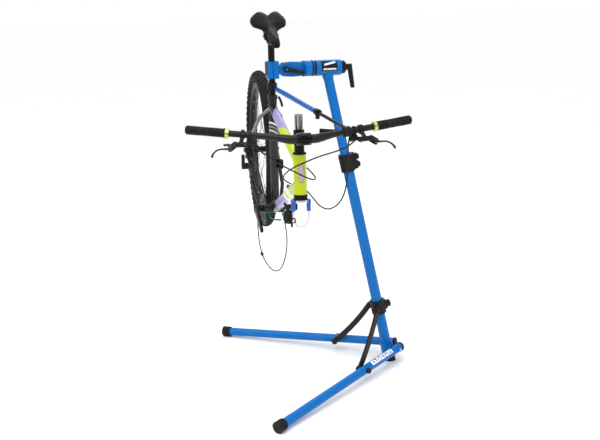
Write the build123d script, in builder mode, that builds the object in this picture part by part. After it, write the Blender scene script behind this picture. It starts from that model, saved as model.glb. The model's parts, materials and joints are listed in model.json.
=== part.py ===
"""Bicycle held in a folding repair stand.

All sizes are millimetres, +Z is up and the origin is on the floor under the foot of the mast.
The two legs spread towards -X, the mast leans towards -X, and the clamp head reaches out over
the legs.  The bicycle hangs from its seat post and faces -Y, tipped forward until its seat tube
is upright.  Bicycle pieces are laid out from the seat post axis as (left, rear, up), where left
is the rider's left hand side, which lies towards +X.
"""
import os
from math import acos, cos, degrees, pi, radians, sin, tan

from build123d import *

os.makedirs("parts", exist_ok=True)

# ---------------------------------------------------------------- driving dimensions: the stand
mast_lean = radians(12.2)
mast_length = 1375.0          # foot of the mast to the axis of the clamp head
lower_mast_radius = 23.5
upper_mast_radius = 20.25
tube_wall = 2.0
lower_mast_top = 985.0
upper_mast_bottom = 620.0
leg_radius = 19.05
leg_pivot_place = (10.0, 49.5, 67.4)      # the far leg; the near leg is its mirror image
leg_foot_place = (-657.7, 522.2, 26.0)    # middle of the front rubber cap
leg_tail = 38.0               # tube behind the pivot
leg_cap_radius = 25.0
tail_cap_radius = 21.5
tail_cap_length = 9.0
strut_reach = 250.0           # leg pivot to the strut's lower bolt
collar_height = 273.0         # middle of the sliding collar along the mast
collar_lug_offset = 48.0      # strut pin in front of the mast axis
strut_thickness = 9.0
strut_width = 25.0
clamp_height = 959.0          # middle of the mast's height clamp
head_axis_height = mast_length * cos(mast_lean)
head_radius = 32.5
shaft_radius = 16.0
running_gap = 0.05
soft_gap = 0.3

# ---------------------------------------------------------------- driving dimensions: the bicycle
seat_post_x = -523.3          # seat post axis in the stand's frame
heading = -0.0936             # the bicycle's turn about its seat post, radians
tip_angle = radians(17.0)     # nose-down tilt that stands the seat tube upright
seat_post_radius = 13.6
seat_tube_top = 1240.0
bottom_bracket_up = 765.0
axle_rear, axle_up = 390.0, 953.0
steering_forward = 600.0      # seat post axis to the middle of the head tube
steering_up = 1025.0
steering_tilt = radians(2.5)
bar_along = 138.0             # handlebar height along the steering axis
stem_reach = 92.0
saddle_tilt = radians(22.0)   # the saddle is set a little further nose-down than the frame
chain_pitch = 12.7
chainring_teeth = 32
cog_teeth = 22
pulley_teeth = 11
tyre_outer = 360.0
tyre_width = 57.0
crank_length = 170.0
crank_drop = radians(17.0)    # the right crank points forward and this far down
chain_line = -49.0

# ---------------------------------------------------------------- places and planes of the stand
mast_up = Vector(-sin(mast_lean), 0, cos(mast_lean))
mast_across = Vector(cos(mast_lean), 0, sin(mast_lean))


def on_mast(along, across=0.0, side=0.0):
    """A point by its distance along the mast, out to +X, and to +Y."""
    return mast_up * along + mast_across * across + Vector(0, side, 0)


def mast_plane(along):
    """The plane square to the mast at one distance along it."""
    return Plane(origin=on_mast(along), x_dir=mast_across, z_dir=mast_up)


head_x = on_mast(mast_length).X


def head_plane(x):
    """The plane square to the clamp head's axis at one X: its own x is +Y and its y is up."""
    return Plane(origin=(x, 0, head_axis_height), x_dir=(0, 1, 0), z_dir=(1, 0, 0))


def head_side(y):
    """An upright plane beside the clamp head: its own x is +X and its y is up, from the axis."""
    return Plane(origin=(0, y, head_axis_height), x_dir=(1, 0, 0), z_dir=(0, -1, 0))


def leg_pivot(side):
    return Vector(leg_pivot_place[0], side * leg_pivot_place[1], leg_pivot_place[2])


def leg_direction(side):
    foot = Vector(leg_foot_place[0], side * leg_foot_place[1], leg_foot_place[2])
    return (foot - leg_pivot(side)).normalized()


leg_length = (Vector(*leg_foot_place) - leg_pivot(1)).length


def leg_outward(side):
    """The direction square to the mast in which a leg folds out."""
    along = leg_direction(side)
    return (along - mast_up * along.dot(mast_up)).normalized()


def leg_plane(side, inward=0.0):
    """The plane in which a leg folds, shifted towards the mast.  Its x is out, its y up the mast."""
    across = leg_outward(side).cross(mast_up)
    return Plane(origin=leg_pivot(side) - across * (side * inward), x_dir=leg_outward(side), z_dir=across)


def leg_local(side, point):
    """A point's (out, up) coordinates in the plane of a leg."""
    place = leg_plane(side).to_local_coords(Vector(point))
    return place.X, place.Y


mast_inward = abs((leg_plane(1).to_local_coords(on_mast(leg_pivot(1).dot(mast_up)))).Z)
mast_out = leg_local(1, on_mast(collar_height))[0]
lug_out = mast_out + collar_lug_offset
lug_up = leg_local(1, on_mast(collar_height))[1]
strut_foot_out, strut_foot_up = leg_local(1, leg_pivot(1) + leg_direction(1) * strut_reach)
strut_inward = mast_inward - 27.0          # plane of the strut, measured from the leg's plane
strut_length = Vector(strut_foot_out - lug_out, strut_foot_up - lug_up, 0).length

# ---------------------------------------------------------------- places and planes of the bicycle
bike_left = Vector(cos(heading), sin(heading), 0)
bike_rear = Vector(-sin(heading), cos(heading), 0)
bike_plane = Plane(origin=(seat_post_x, 0, 0), x_dir=bike_left, z_dir=(0, 0, 1))


def on_bike(left, rear, up):
    return bike_plane.origin + bike_left * left + bike_rear * rear + Vector(0, 0, up)


def side_plane(left):
    """The bicycle's upright middle plane moved to one side.  Its x is rear and its y is up."""
    return Plane(origin=on_bike(left, 0, 0), x_dir=bike_rear, z_dir=bike_left)


def on_steerer(along, left=0.0):
    """A point by its distance up the steering axis from the middle of the head tube."""
    rear = along * sin(steering_tilt) - steering_forward
    return on_bike(left, rear, steering_up + along * cos(steering_tilt))


steering_axis = (on_steerer(1) - on_steerer(0)).normalized()


def steerer_plane(along):
    return Plane(origin=on_steerer(along), x_dir=bike_left, z_dir=steering_axis)


bar_rear = bar_along * sin(steering_tilt) - steering_forward - stem_reach
bar_up = steering_up + bar_along * cos(steering_tilt)
axle_place = (axle_rear, axle_up)
bracket_place = (0.0, bottom_bracket_up)


# ---------------------------------------------------------------- shapes used many times
def save(builder, label):
    """Name a finished piece and write its STEP file."""
    builder.part.label = label
    export_step(builder.part, f"parts/{label}.step")


def rod(start, end, radius, bore=0.0, end_radius=None):
    """A straight round bar, tube or taper between two points."""
    start, end = Vector(start), Vector(end)
    base = Plane(origin=start, z_dir=end - start)
    with BuildPart() as bar:
        with BuildSketch(base):
            Circle(radius)
            if bore:
                Circle(bore, mode=Mode.SUBTRACT)
        if end_radius is None:
            extrude(amount=(end - start).length)
        else:
            with BuildSketch(base.offset((end - start).length)):
                Circle(end_radius)
            loft()
    return bar


def trimmed_tube(start, end, radius, bore, cutters):
    """A round tube with its ends cut to sit against other round tubes."""
    with BuildPart() as tube:
        add(rod(start, end, radius, bore).part)
        for cutter in cutters:
            add(cutter.part, mode=Mode.SUBTRACT)
    biggest = tube.part.solids().sort_by(SortBy.VOLUME)[-1]
    with BuildPart() as trimmed:
        add(biggest)
    return trimmed


def group(*builders):
    """Separate solids that share one node."""
    with BuildPart() as pieces:
        for piece in builders:
            add(piece.part)
    return pieces


def swept(points, radii, radius, bore=0.0):
    """A round bar along straight runs joined by arcs, in the bicycle's (left, rear, up)."""
    with BuildPart() as bar:
        with BuildLine(bike_plane) as route:
            FilletPolyline(*points, radius=radii)
        with BuildSketch(Plane(route.line ^ 0)):
            Circle(radius)
            if bore:
                Circle(bore, mode=Mode.SUBTRACT)
        sweep()
    return bar


# ================================================================ the stand's fixed base
with BuildPart() as mast_foot:
    with BuildSketch(mast_plane(-14)):
        Circle(27)
    extrude(amount=54)
    with BuildSketch(mast_plane(14)):
        Circle(lower_mast_radius)
    extrude(amount=40, mode=Mode.SUBTRACT)
    split(bisect_by=Plane.XY, keep=Keep.TOP)
save(mast_foot, "mast_foot")

lower_mast = rod(on_mast(14), on_mast(lower_mast_top), lower_mast_radius, lower_mast_radius - tube_wall)
save(lower_mast, "lower_mast")

wing_gap = 0.3
wing_thickness = 9.0
wing_inward = leg_radius + wing_gap + wing_thickness / 2
bolt_radius = 6.0
bolt_head = 10.0
with BuildPart() as leg_bracket:
    with BuildSketch(mast_plane(41)):
        Circle(28.5)
        Circle(lower_mast_radius, mode=Mode.SUBTRACT)
    extrude(amount=54)
    for side in (-1, 1):
        with BuildSketch(leg_plane(side, wing_inward)) as wing:
            Circle(22)
            with Locations((mast_out, 0)):
                Rectangle(20, 30)
        extrude(amount=wing_thickness / 2, both=True)
    with BuildSketch(mast_plane(41)):
        Circle(lower_mast_radius)
    extrude(amount=54, mode=Mode.SUBTRACT)
    for side in (-1, 1):
        head_out = leg_plane(side, -leg_radius - 3.4)
        with BuildSketch(leg_plane(side, (wing_inward - leg_radius) / 2)):
            Circle(bolt_radius)
        extrude(amount=(wing_inward + leg_radius) / 2 + 3, both=True)
        with BuildSketch(head_out):
            RegularPolygon(bolt_head, 6)
        extrude(amount=3, both=True)
save(leg_bracket, "leg_bracket")

# ---------------------------------------------------------------- legs, their caps and the struts
strut_bow = SagittaArc((lug_out, lug_up), (strut_foot_out, strut_foot_up), -9)
for side, name in ((1, "far"), (-1, "near")):
    pivot = leg_pivot(side)
    along = leg_direction(side)
    with BuildPart() as leg:
        add(rod(pivot - along * leg_tail, pivot + along * (leg_length + 16), leg_radius,
                leg_radius - tube_wall).part)
        with BuildSketch(leg_plane(side)):
            Circle(bolt_radius + running_gap)
        extrude(amount=leg_radius + 5, both=True, mode=Mode.SUBTRACT)
        boss_bottom = leg_radius - tube_wall
        boss_top = strut_inward - strut_thickness / 2 - soft_gap
        with BuildSketch(leg_plane(side, (boss_bottom + boss_top) / 2)):
            with Locations((strut_foot_out, strut_foot_up)):
                Circle(10)
        extrude(amount=(boss_top - boss_bottom) / 2, both=True)
    save(leg, f"leg_{name}")

    front = pivot + along * leg_length
    tail = pivot - along * leg_tail
    front_cap = rod(front - along * 20, front + along * 16, leg_cap_radius, leg_radius)
    front_end = rod(front + along * 16, front + along * 20, leg_cap_radius)
    tail_cap = rod(tail, tail + along * tail_cap_length, tail_cap_radius, leg_radius)
    tail_end = rod(tail - along * 3, tail, tail_cap_radius)
    with BuildPart() as leg_caps:
        for piece in (front_cap, front_end, tail_cap, tail_end):
            add(piece.part)
    save(leg_caps, f"leg_caps_{name}")

    with BuildPart() as strut:
        with BuildSketch(leg_plane(side, strut_inward)):
            SlotArc(strut_bow, strut_width)
            with Locations((lug_out, lug_up)):
                Circle(5 + running_gap, mode=Mode.SUBTRACT)
        extrude(amount=strut_thickness / 2, both=True)
        with BuildSketch(leg_plane(side, strut_inward + strut_thickness / 2 + 1)):
            with Locations((strut_foot_out, strut_foot_up)):
                RegularPolygon(8, 6)
        extrude(amount=3, both=True)
    save(strut, f"strut_{name}")

# ---------------------------------------------------------------- sliding collar and its knob
collar_half = 31.0
lug_thickness = 11.0
lug_inward = strut_inward + strut_thickness / 2 + soft_gap + lug_thickness / 2
with BuildPart() as leg_collar:
    with BuildSketch(mast_plane(collar_height - collar_half)):
        Circle(33)
    extrude(amount=2 * collar_half)
    for side in (-1, 1):
        with BuildSketch(leg_plane(side, lug_inward)):
            with BuildLine():
                Polyline((mast_out, lug_up - 22), (lug_out, lug_up - 12), (lug_out, lug_up + 12),
                         (mast_out, lug_up + 22), close=True)
            make_face()
            with Locations((lug_out, lug_up)):
                Circle(12)
        extrude(amount=lug_thickness / 2, both=True)
        pin_middle = strut_inward + lug_thickness / 2
        with BuildSketch(leg_plane(side, pin_middle)):
            with Locations((lug_out, lug_up)):
                Circle(5)
        extrude(amount=strut_thickness / 2 + lug_thickness / 2 + 2, both=True)
        with BuildSketch(leg_plane(side, strut_inward - strut_thickness / 2 - soft_gap - 1.6)):
            with Locations((lug_out, lug_up)):
                Circle(8)
        extrude(amount=1.6, both=True)
    with BuildSketch(Plane(origin=on_mast(collar_height, 30), x_dir=(0, 1, 0), z_dir=mast_across)):
        Rectangle(26, 40)
    extrude(amount=10)
    with BuildSketch(mast_plane(collar_height - collar_half)):
        Circle(lower_mast_radius + running_gap)
    extrude(amount=2 * collar_half, mode=Mode.SUBTRACT)
    with BuildSketch(Plane(origin=on_mast(collar_height, 24), x_dir=(0, 1, 0), z_dir=mast_across)):
        Circle(4 + running_gap)
    extrude(amount=20, mode=Mode.SUBTRACT)
save(leg_collar, "leg_collar")

knob_plane = Plane(origin=on_mast(collar_height, 41), x_dir=(0, 1, 0), z_dir=mast_across)
with BuildPart() as leg_collar_knob:
    with BuildSketch(knob_plane):
        RegularPolygon(17, 6)
        Circle(13)
    extrude(amount=16)
    with BuildSketch(knob_plane):
        Circle(4)
    extrude(amount=-16)
save(leg_collar_knob, "leg_collar_knob")

# ---------------------------------------------------------------- height clamp and its two levers
ear_across = 38.0
ear_slot = 27.0               # inner wall of the slot that the levers stand in
lever_gap = 13.3
with BuildPart() as height_clamp:
    with BuildSketch(mast_plane(clamp_height - 37.5)):
        Circle(31)
    extrude(amount=75)
    with BuildSketch(mast_plane(clamp_height - 34)):
        with Locations((ear_across / 2 + 4, 0)):
            Rectangle(ear_across, 38)
    extrude(amount=68)
    with BuildSketch(mast_plane(clamp_height - 34)):
        with Locations((ear_slot + 15, 0)):
            Rectangle(30, 2 * lever_gap)
    extrude(amount=68, mode=Mode.SUBTRACT)
    with BuildSketch(mast_plane(clamp_height - 37.5)):
        Circle(lower_mast_radius)
    extrude(amount=lower_mast_top - clamp_height + 37.5, mode=Mode.SUBTRACT)
    with BuildSketch(mast_plane(lower_mast_top - 1)):
        Circle(upper_mast_radius + running_gap)
    extrude(amount=20, mode=Mode.SUBTRACT)
    for rise in (-17, 17):
        with BuildSketch(Plane(origin=on_mast(clamp_height + rise, ear_across), x_dir=mast_across,
                               z_dir=mast_across.cross(mast_up))):
            Circle(3)
        extrude(amount=19, both=True)
save(height_clamp, "height_clamp")

for rise, name in ((17, "upper"), (-17, "lower")):
    lever_plane = Plane(origin=on_mast(clamp_height + rise, ear_across), x_dir=mast_across,
                        z_dir=mast_across.cross(mast_up))
    with BuildPart() as height_lever:
        with BuildSketch(lever_plane):
            Circle(9.5)
            with Locations((9, 0)):
                RectangleRounded(18, 25, 8)
            Circle(3 + running_gap, mode=Mode.SUBTRACT)
        extrude(amount=lever_gap - 0.4, both=True)
    save(height_lever, f"height_lever_{name}")

# ================================================================ the sliding upper mast and barrel
barrel_left, barrel_right = -338.5, -230.5
barrel = rod((barrel_left, 0, head_axis_height), (barrel_right, 0, head_axis_height), head_radius)
upper_mast = trimmed_tube(on_mast(upper_mast_bottom), on_mast(mast_length - 10), upper_mast_radius,
                          upper_mast_radius - tube_wall, [barrel])
save(upper_mast, "upper_mast")

with BuildPart() as head_barrel:
    with BuildSketch(head_plane(barrel_left)):
        Circle(head_radius)
    extrude(amount=barrel_right - barrel_left)
    with BuildSketch(mast_plane(mast_length - 44)):
        Circle(23)
    extrude(amount=30)
    lowest_circle = head_barrel.edges().filter_by(GeomType.CIRCLE).group_by(Axis.Z)[0]
    fillet(lowest_circle, 2)
    add(rod(on_mast(mast_length - 64), on_mast(mast_length - 12), upper_mast_radius).part,
        mode=Mode.SUBTRACT)
    with BuildSketch(head_plane(barrel_left)):
        Circle(head_radius - 6)
    extrude(amount=barrel_right - barrel_left)
    with BuildSketch(head_plane(barrel_left)):
        Circle(shaft_radius + running_gap)
    extrude(amount=barrel_right - barrel_left, mode=Mode.SUBTRACT)

knob_left, knob_right = barrel_right + 0.4, -209.0
with BuildPart() as head_end_knob:
    with BuildSketch(head_plane(knob_left)):
        Circle(27)
        Circle(shaft_radius + running_gap, mode=Mode.SUBTRACT)
    extrude(amount=knob_right - knob_left)
    chamfer(head_end_knob.edges().group_by(Axis.X)[-1].sort_by(SortBy.RADIUS)[-1], 4)
head_barrel = group(head_barrel, head_end_knob)
save(head_barrel, "head_barrel")

# ================================================================ the turning clamp head
lock_end = -205.0
with BuildPart() as clamp_shaft:
    with BuildSketch(head_plane(-384)):
        Circle(shaft_radius)
    extrude(amount=lock_end + 384)
    with BuildSketch(head_plane(-357.6)):
        Circle(30)
    extrude(amount=18.6)
    with BuildSketch(head_plane(lock_end)):
        Circle(5 + running_gap)
    extrude(amount=-22, mode=Mode.SUBTRACT)
save(clamp_shaft, "clamp_shaft")

jaw_half_height = 35.0
jaw_half_depth = 27.0
jaw_gap = 1.0
jaw_outer, jaw_inner = -546.0, -499.0
pad_thickness = 7.0
pad_half_depth = 21.0
guide_radius = 2.3
guide_depth = 24.0
cam_pivot = (-468.0, 2.0)
cam_side = -26.0
with BuildPart() as clamp_arm:
    with BuildSketch(head_plane(-385.5)):
        Circle(32)
    extrude(amount=27.4)
    with BuildSketch(head_side(0)):
        with BuildLine():
            Polyline((-385.5, 27), (-385.5, -27), (-440, -30), (-478, -27), (-487, -18),
                     (jaw_inner, -18), (jaw_inner, 18), (-487, 18), (-478, 27), (-440, 30), close=True)
        make_face()
    extrude(amount=19, both=True)
    with BuildSketch(Plane(origin=(0, 0, head_axis_height), x_dir=(1, 0, 0), z_dir=(0, 0, 1))):
        with Locations(((jaw_inner + seat_post_x + jaw_gap) / 2, 0)):
            Rectangle(jaw_inner - seat_post_x - jaw_gap, 2 * jaw_half_depth)
    extrude(amount=jaw_half_height, both=True)
    with BuildSketch(head_plane(seat_post_x + jaw_gap)):
        Rectangle(2 * pad_half_depth, 2 * jaw_half_height)
    extrude(amount=pad_thickness, mode=Mode.SUBTRACT)
    with BuildSketch(head_side(-19)):
        with Locations(cam_pivot):
            Circle(15)
    extrude(amount=3)
    with BuildSketch(head_side(-19)):
        with Locations(cam_pivot):
            Circle(5)
    extrude(amount=16)
    with BuildSketch(Plane.XY.offset(head_axis_height - 60)):
        with Locations((seat_post_x, 0)):
            Circle(seat_post_radius + 0.2)
    extrude(amount=120, mode=Mode.SUBTRACT)
    with BuildSketch(head_plane(-384)):
        Circle(shaft_radius)
    extrude(amount=40, mode=Mode.SUBTRACT)
    with BuildSketch(head_plane(seat_post_x)):
        with Locations((-guide_depth, 0), (guide_depth, 0)):
            Circle(guide_radius + running_gap)
    extrude(amount=jaw_inner - seat_post_x, mode=Mode.SUBTRACT)
save(clamp_arm, "clamp_arm")

for direction, name in ((1, "fixed"), (-1, "moving")):
    face_x = seat_post_x + direction * jaw_gap
    with BuildPart() as jaw_pad:
        with BuildSketch(head_plane(face_x)):
            Rectangle(2 * pad_half_depth, 2 * jaw_half_height)
        extrude(amount=direction * pad_thickness)
        with BuildSketch(Plane.XY.offset(head_axis_height - 60)):
            with Locations((seat_post_x, 0)):
                Circle(seat_post_radius + (0 if direction == 1 else 1.2))
        extrude(amount=120, mode=Mode.SUBTRACT)
    save(jaw_pad, f"{name}_jaw_pad")

moving_face = seat_post_x - jaw_gap
with BuildPart() as moving_jaw:
    with BuildSketch(head_plane(jaw_outer)):
        RectangleRounded(2 * jaw_half_depth, 2 * jaw_half_height, 6)
    extrude(amount=moving_face - jaw_outer)
    chamfer(moving_jaw.edges().group_by(Axis.X)[0], 4)
    with BuildSketch(Plane.XY.offset(head_axis_height - 60)):
        with Locations((seat_post_x, 0)):
            Circle(seat_post_radius + 3.5)
    extrude(amount=120, mode=Mode.SUBTRACT)
    with BuildSketch(head_plane(moving_face)):
        Rectangle(2 * pad_half_depth, 2 * jaw_half_height)
    extrude(amount=-pad_thickness, mode=Mode.SUBTRACT)
    with BuildSketch(head_plane(moving_face - 8)):
        with Locations((-guide_depth, 0), (guide_depth, 0)):
            Circle(guide_radius)
    extrude(amount=jaw_inner - moving_face + 8)
save(moving_jaw, "moving_jaw")

with BuildPart() as cam_lever:
    with BuildSketch(head_side(-22.4)):
        with Locations(cam_pivot):
            Circle(12)
        with BuildLine():
            Polyline((cam_pivot[0], cam_pivot[1] + 10), (cam_pivot[0] + 70, cam_pivot[1] - 9),
                     (cam_pivot[0] + 70, cam_pivot[1] - 23), (cam_pivot[0], cam_pivot[1] - 10), close=True)
        make_face()
        with Locations((cam_pivot[0] + 70, cam_pivot[1] - 16)):
            Circle(7)
        with Locations(cam_pivot):
            Circle(5 + running_gap, mode=Mode.SUBTRACT)
    extrude(amount=10)
save(cam_lever, "cam_lever")

handle_x = -187.0
with BuildPart() as lock_lever:
    with BuildSketch(head_plane(lock_end + 0.4)):
        Circle(5)
    extrude(amount=-18)
    with BuildSketch(head_plane(lock_end + 0.4)):
        Circle(13)
    extrude(amount=25)
    with BuildSketch(Plane(origin=(handle_x, 0, head_axis_height), z_dir=(0, 0, -1))):
        Circle(11)
    with BuildSketch(Plane(origin=(handle_x + 13, 0, head_axis_height - 88), z_dir=(0, 0, -1))):
        Circle(9)
    loft()
    fillet(lock_lever.edges().group_by(Axis.Z)[0], 4)
save(lock_lever, "lock_lever")

# ================================================================ bicycle: post, saddle and frame
seat_tube_radius = 17.4
bracket_radius = 21.5
bracket_half = 36.5
spindle_radius = 12.0
head_tube_radius = 23.0
head_tube_half = 71.0
upper_cup, lower_cup = 5.0, 20.0
steerer_radius = 14.3

seat_post = rod(on_bike(0, 0, 1140), on_bike(0, 0, 1466), seat_post_radius, 11.6)
save(seat_post, "seat_post")

saddle_up = Vector(0, 0, cos(saddle_tilt)) - bike_rear * sin(saddle_tilt)
saddle_plane = Plane(origin=on_bike(0, 0, 1478), x_dir=bike_left, z_dir=saddle_up)
rail_spacing = 22.0
rail_radius = 3.5
with BuildPart() as saddle_rails:
    with BuildSketch(Plane.XY.offset(1466)):
        with Locations((seat_post_x, 0)):
            Circle(15)
    extrude(amount=6)
    with BuildSketch(saddle_plane.offset(-9)):
        RectangleRounded(56, 34, 5)
    extrude(amount=16)
    for rail_side in (-1, 1):
        with BuildLine(saddle_plane) as rail:
            left = rail_side * rail_spacing
            FilletPolyline((left, 88, 15), (left, 62, 0), (left, -60, 0), (left * 0.6, -112, 15), radius=12)
        with BuildSketch(Plane(rail.line ^ 0)):
            Circle(rail_radius)
        sweep()
    with BuildSketch(Plane.XY.offset(1440)):
        with Locations((seat_post_x, 0)):
            Circle(seat_post_radius)
    extrude(amount=26, mode=Mode.SUBTRACT)
save(saddle_rails, "saddle_rails")

half_outline = [(17, -137), (21, -80), (26, -6), (62, 47), (72, 90), (50, 123)]
saddle_outline = [(0, -147)] + half_outline + [(0, 113)]
saddle_outline += [(-left, rear) for left, rear in reversed(half_outline)]
with BuildPart() as saddle:
    with BuildSketch(saddle_plane.offset(20)):
        with BuildLine():
            Spline(*saddle_outline, periodic=True)
        make_face()
    extrude(amount=34)
save(saddle, "saddle")

with BuildPart() as seat_tube:
    add(rod(on_bike(0, 0, bottom_bracket_up), on_bike(0, 0, seat_tube_top), seat_tube_radius).part)
    add(rod(on_bike(0, 0, seat_tube_top - 16), on_bike(0, 0, seat_tube_top + 2), 20.5).part)
    with BuildSketch(side_plane(0)):
        with Locations(bracket_place):
            Circle(bracket_radius)
    extrude(amount=bracket_half, both=True)
    with BuildSketch(side_plane(0)):
        with Locations(bracket_place):
            Circle(spindle_radius + running_gap)
    extrude(amount=bracket_half, both=True, mode=Mode.SUBTRACT)
    with BuildSketch(Plane.XY.offset(bottom_bracket_up + 24)):
        with Locations((seat_post_x, 0)):
            Circle(seat_post_radius)
    extrude(amount=500, mode=Mode.SUBTRACT)
save(seat_tube, "seat_tube")

lever_path = ThreePointArc((0, 0), (8, -18), (12, -35))
with BuildPart() as seat_lever:
    with BuildSketch(Plane(origin=on_bike(26, -6, seat_tube_top - 8), x_dir=bike_left, z_dir=-bike_rear)):
        SlotArc(lever_path, 9)
    extrude(amount=4, both=True)
save(seat_lever, "seat_lever")

seat_core = rod(on_bike(0, 0, bottom_bracket_up), on_bike(0, 0, seat_tube_top), seat_tube_radius)
head_core = rod(on_steerer(-head_tube_half - 10), on_steerer(head_tube_half + 10), head_tube_radius)
bracket_core = rod(on_bike(-bracket_half, 0, bottom_bracket_up), on_bike(bracket_half, 0, bottom_bracket_up),
                   bracket_radius)

low_cup_core = rod(on_steerer(-head_tube_half - 20), on_steerer(-head_tube_half), 25)
high_cup_core = rod(on_steerer(head_tube_half), on_steerer(head_tube_half + 20), 25)
top_tube = trimmed_tube(on_bike(0, 0, 1190), on_steerer(36), 17.5, 15.7,
                        [seat_core, head_core, high_cup_core])
save(top_tube, "top_tube")
down_tube = trimmed_tube(on_bike(0, 0, bottom_bracket_up), on_steerer(-34), 21.0, 19.2,
                         [seat_core, head_core, bracket_core, low_cup_core])
save(down_tube, "down_tube")
head_tube = rod(on_steerer(-head_tube_half), on_steerer(head_tube_half), head_tube_radius, 18.0)
save(head_tube, "head_tube")

dropout_left = 70.0
chain_stay_radius = 8.0
seat_stay_radius = 7.5
axle_bolt_radius = 6.0
with BuildPart() as chain_stays:
    for stay_side in (-1, 1):
        route = [(stay_side * 24, 10, 772), (stay_side * 35, 60, 793), (stay_side * 56, 150, 835),
                 (stay_side * 68, 330, 925), (stay_side * dropout_left, 372, 944)]
        add(swept(route, [40, 60, 60], chain_stay_radius).part)
        with BuildSketch(side_plane(stay_side * dropout_left)):
            with Locations(axle_place):
                Circle(19)
        extrude(amount=3.5, both=True)
    with BuildSketch(side_plane(0)):
        with Locations(axle_place):
            Circle(axle_bolt_radius)
    extrude(amount=dropout_left + 9, both=True, mode=Mode.SUBTRACT)
    add(bracket_core.part, mode=Mode.SUBTRACT)
    add(seat_core.part, mode=Mode.SUBTRACT)

with BuildPart() as rear_axle:
    with BuildSketch(side_plane(-79)):
        with Locations(axle_place):
            Circle(axle_bolt_radius)
    extrude(amount=158)
    for left in (-77.2, 77.2):
        with BuildSketch(side_plane(left)):
            with Locations(axle_place):
                Circle(10)
        extrude(amount=3, both=True)
save(group(chain_stays, rear_axle), "chain_stays")

with BuildPart() as seat_stays:
    for stay_side in (-1, 1):
        route = [(stay_side * 10, 6, 1186), (stay_side * 46, 74, 1142), (stay_side * 66, 330, 996),
                 (stay_side * dropout_left, 376, 970)]
        add(swept(route, [50, 60], seat_stay_radius).part)
    add(seat_core.part, mode=Mode.SUBTRACT)
    add(chain_stays.part, mode=Mode.SUBTRACT)
    add(rod(on_bike(0, 0, seat_tube_top - 40), on_bike(0, 0, seat_tube_top), seat_tube_radius).part,
        mode=Mode.SUBTRACT)
save(seat_stays, "seat_stays")

# ---------------------------------------------------------------- bicycle: steering
stem_half = 19.0
with BuildPart() as headset:
    for low, high, outer in ((-head_tube_half - lower_cup, -head_tube_half, 24.5),
                             (head_tube_half, head_tube_half + upper_cup, 24.5),
                             (head_tube_half + upper_cup, bar_along - stem_half, 18.0)):
        with BuildSketch(steerer_plane(low)):
            Circle(outer)
            Circle(steerer_radius, mode=Mode.SUBTRACT)
        extrude(amount=high - low)

steerer_top = bar_along + stem_half + 52
steerer = rod(on_steerer(-head_tube_half - lower_cup - 8), on_steerer(steerer_top), steerer_radius, 11.8)
save(steerer, "steerer")

crown_top = -head_tube_half - lower_cup - 0.5
with BuildPart() as fork_crown:
    with BuildSketch(steerer_plane(crown_top - 9)):
        SlotOverall(74, 36)
        Circle(steerer_radius, mode=Mode.SUBTRACT)
    extrude(amount=9)
    with BuildSketch(steerer_plane(crown_top - 9)):
        with Locations((-28, 0), (28, 0)):
            Circle(8)
    extrude(amount=-32)

loop_top = crown_top - 41.3
with BuildPart() as fork_loop:
    loop_points = [on_steerer(loop_top, 28), on_steerer(loop_top - 26, 28), on_steerer(loop_top - 56, 15),
                   on_steerer(loop_top - 56, -15), on_steerer(loop_top - 26, -28), on_steerer(loop_top, -28)]
    with BuildLine() as loop_path:
        FilletPolyline(*loop_points, radius=9)
    with BuildSketch(Plane(loop_path.line ^ 0)):
        Circle(4)
    sweep()
save(group(fork_crown, fork_loop), "fork_stub")

bar_centre = on_bike(0, bar_rear, bar_up)
with BuildPart() as stem:
    with BuildSketch(steerer_plane(bar_along - stem_half)):
        Circle(19.5)
    extrude(amount=2 * stem_half)
    add(rod(on_steerer(bar_along), bar_centre, 16, 0, 15).part)
    add(rod(bar_centre - bike_left * 23, bar_centre + bike_left * 23, 21.5).part)
    with BuildSketch(steerer_plane(bar_along - stem_half)):
        Circle(steerer_radius)
    extrude(amount=2 * stem_half, mode=Mode.SUBTRACT)
    add(rod(bar_centre - bike_left * 23, bar_centre + bike_left * 23, 15.9).part, mode=Mode.SUBTRACT)
save(group(stem, headset), "stem_and_headset")

bar_thick = 15.9
bar_thin = 11.1
bend_in = (36.0, bar_rear, bar_up)
bend_out = (98.0, bar_rear + 10, bar_up + 9)
bar_tip = (395.0, bar_rear + 57, bar_up + 42)


def mirrored(point, side):
    return side * point[0], point[1], point[2]


def on_bar(side, left):
    """A point on the handlebar's outer straight part, by its distance from the middle."""
    share = (left - bend_out[0]) / (bar_tip[0] - bend_out[0])
    return on_bike(side * left, bend_out[1] + share * (bar_tip[1] - bend_out[1]),
                   bend_out[2] + share * (bar_tip[2] - bend_out[2]))


with BuildPart() as handlebar:
    add(rod(on_bike(*mirrored(bend_in, -1)), on_bike(*bend_in), bar_thick).part)
    for side in (-1, 1):
        inner, outer, tip = (on_bike(*mirrored(point, side)) for point in (bend_in, bend_out, bar_tip))
        add(rod(inner, outer, bar_thick, 0, bar_thin + 1).part)
        add(rod(outer, tip, bar_thin).part)
        with Locations(inner):
            Sphere(bar_thick)
        with Locations(outer):
            Sphere(bar_thin + 1)
save(handlebar, "handlebar")

# ---------------------------------------------------------------- bicycle: grips and hand controls
grip_inner, grip_outer = 265.0, 394.0
grip_pieces = []
for side in (-1, 1):
    grip_pieces.append(rod(on_bar(side, grip_inner), on_bar(side, grip_outer), 16, bar_thin))
    grip_pieces.append(rod(on_bar(side, grip_inner - 9), on_bar(side, grip_inner - 0.5), 18, bar_thin))
grips = group(*grip_pieces)
save(grips, "grips")

reach_direction = bike_rear * -0.66 + Vector(0, 0, -0.75)
below_direction = bike_rear * 0.2 + Vector(0, 0, -0.98)
lever_clamp_left = 205.0
shifter_left = 181.0
blade_pivot = (37.0, 60.0)


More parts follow.
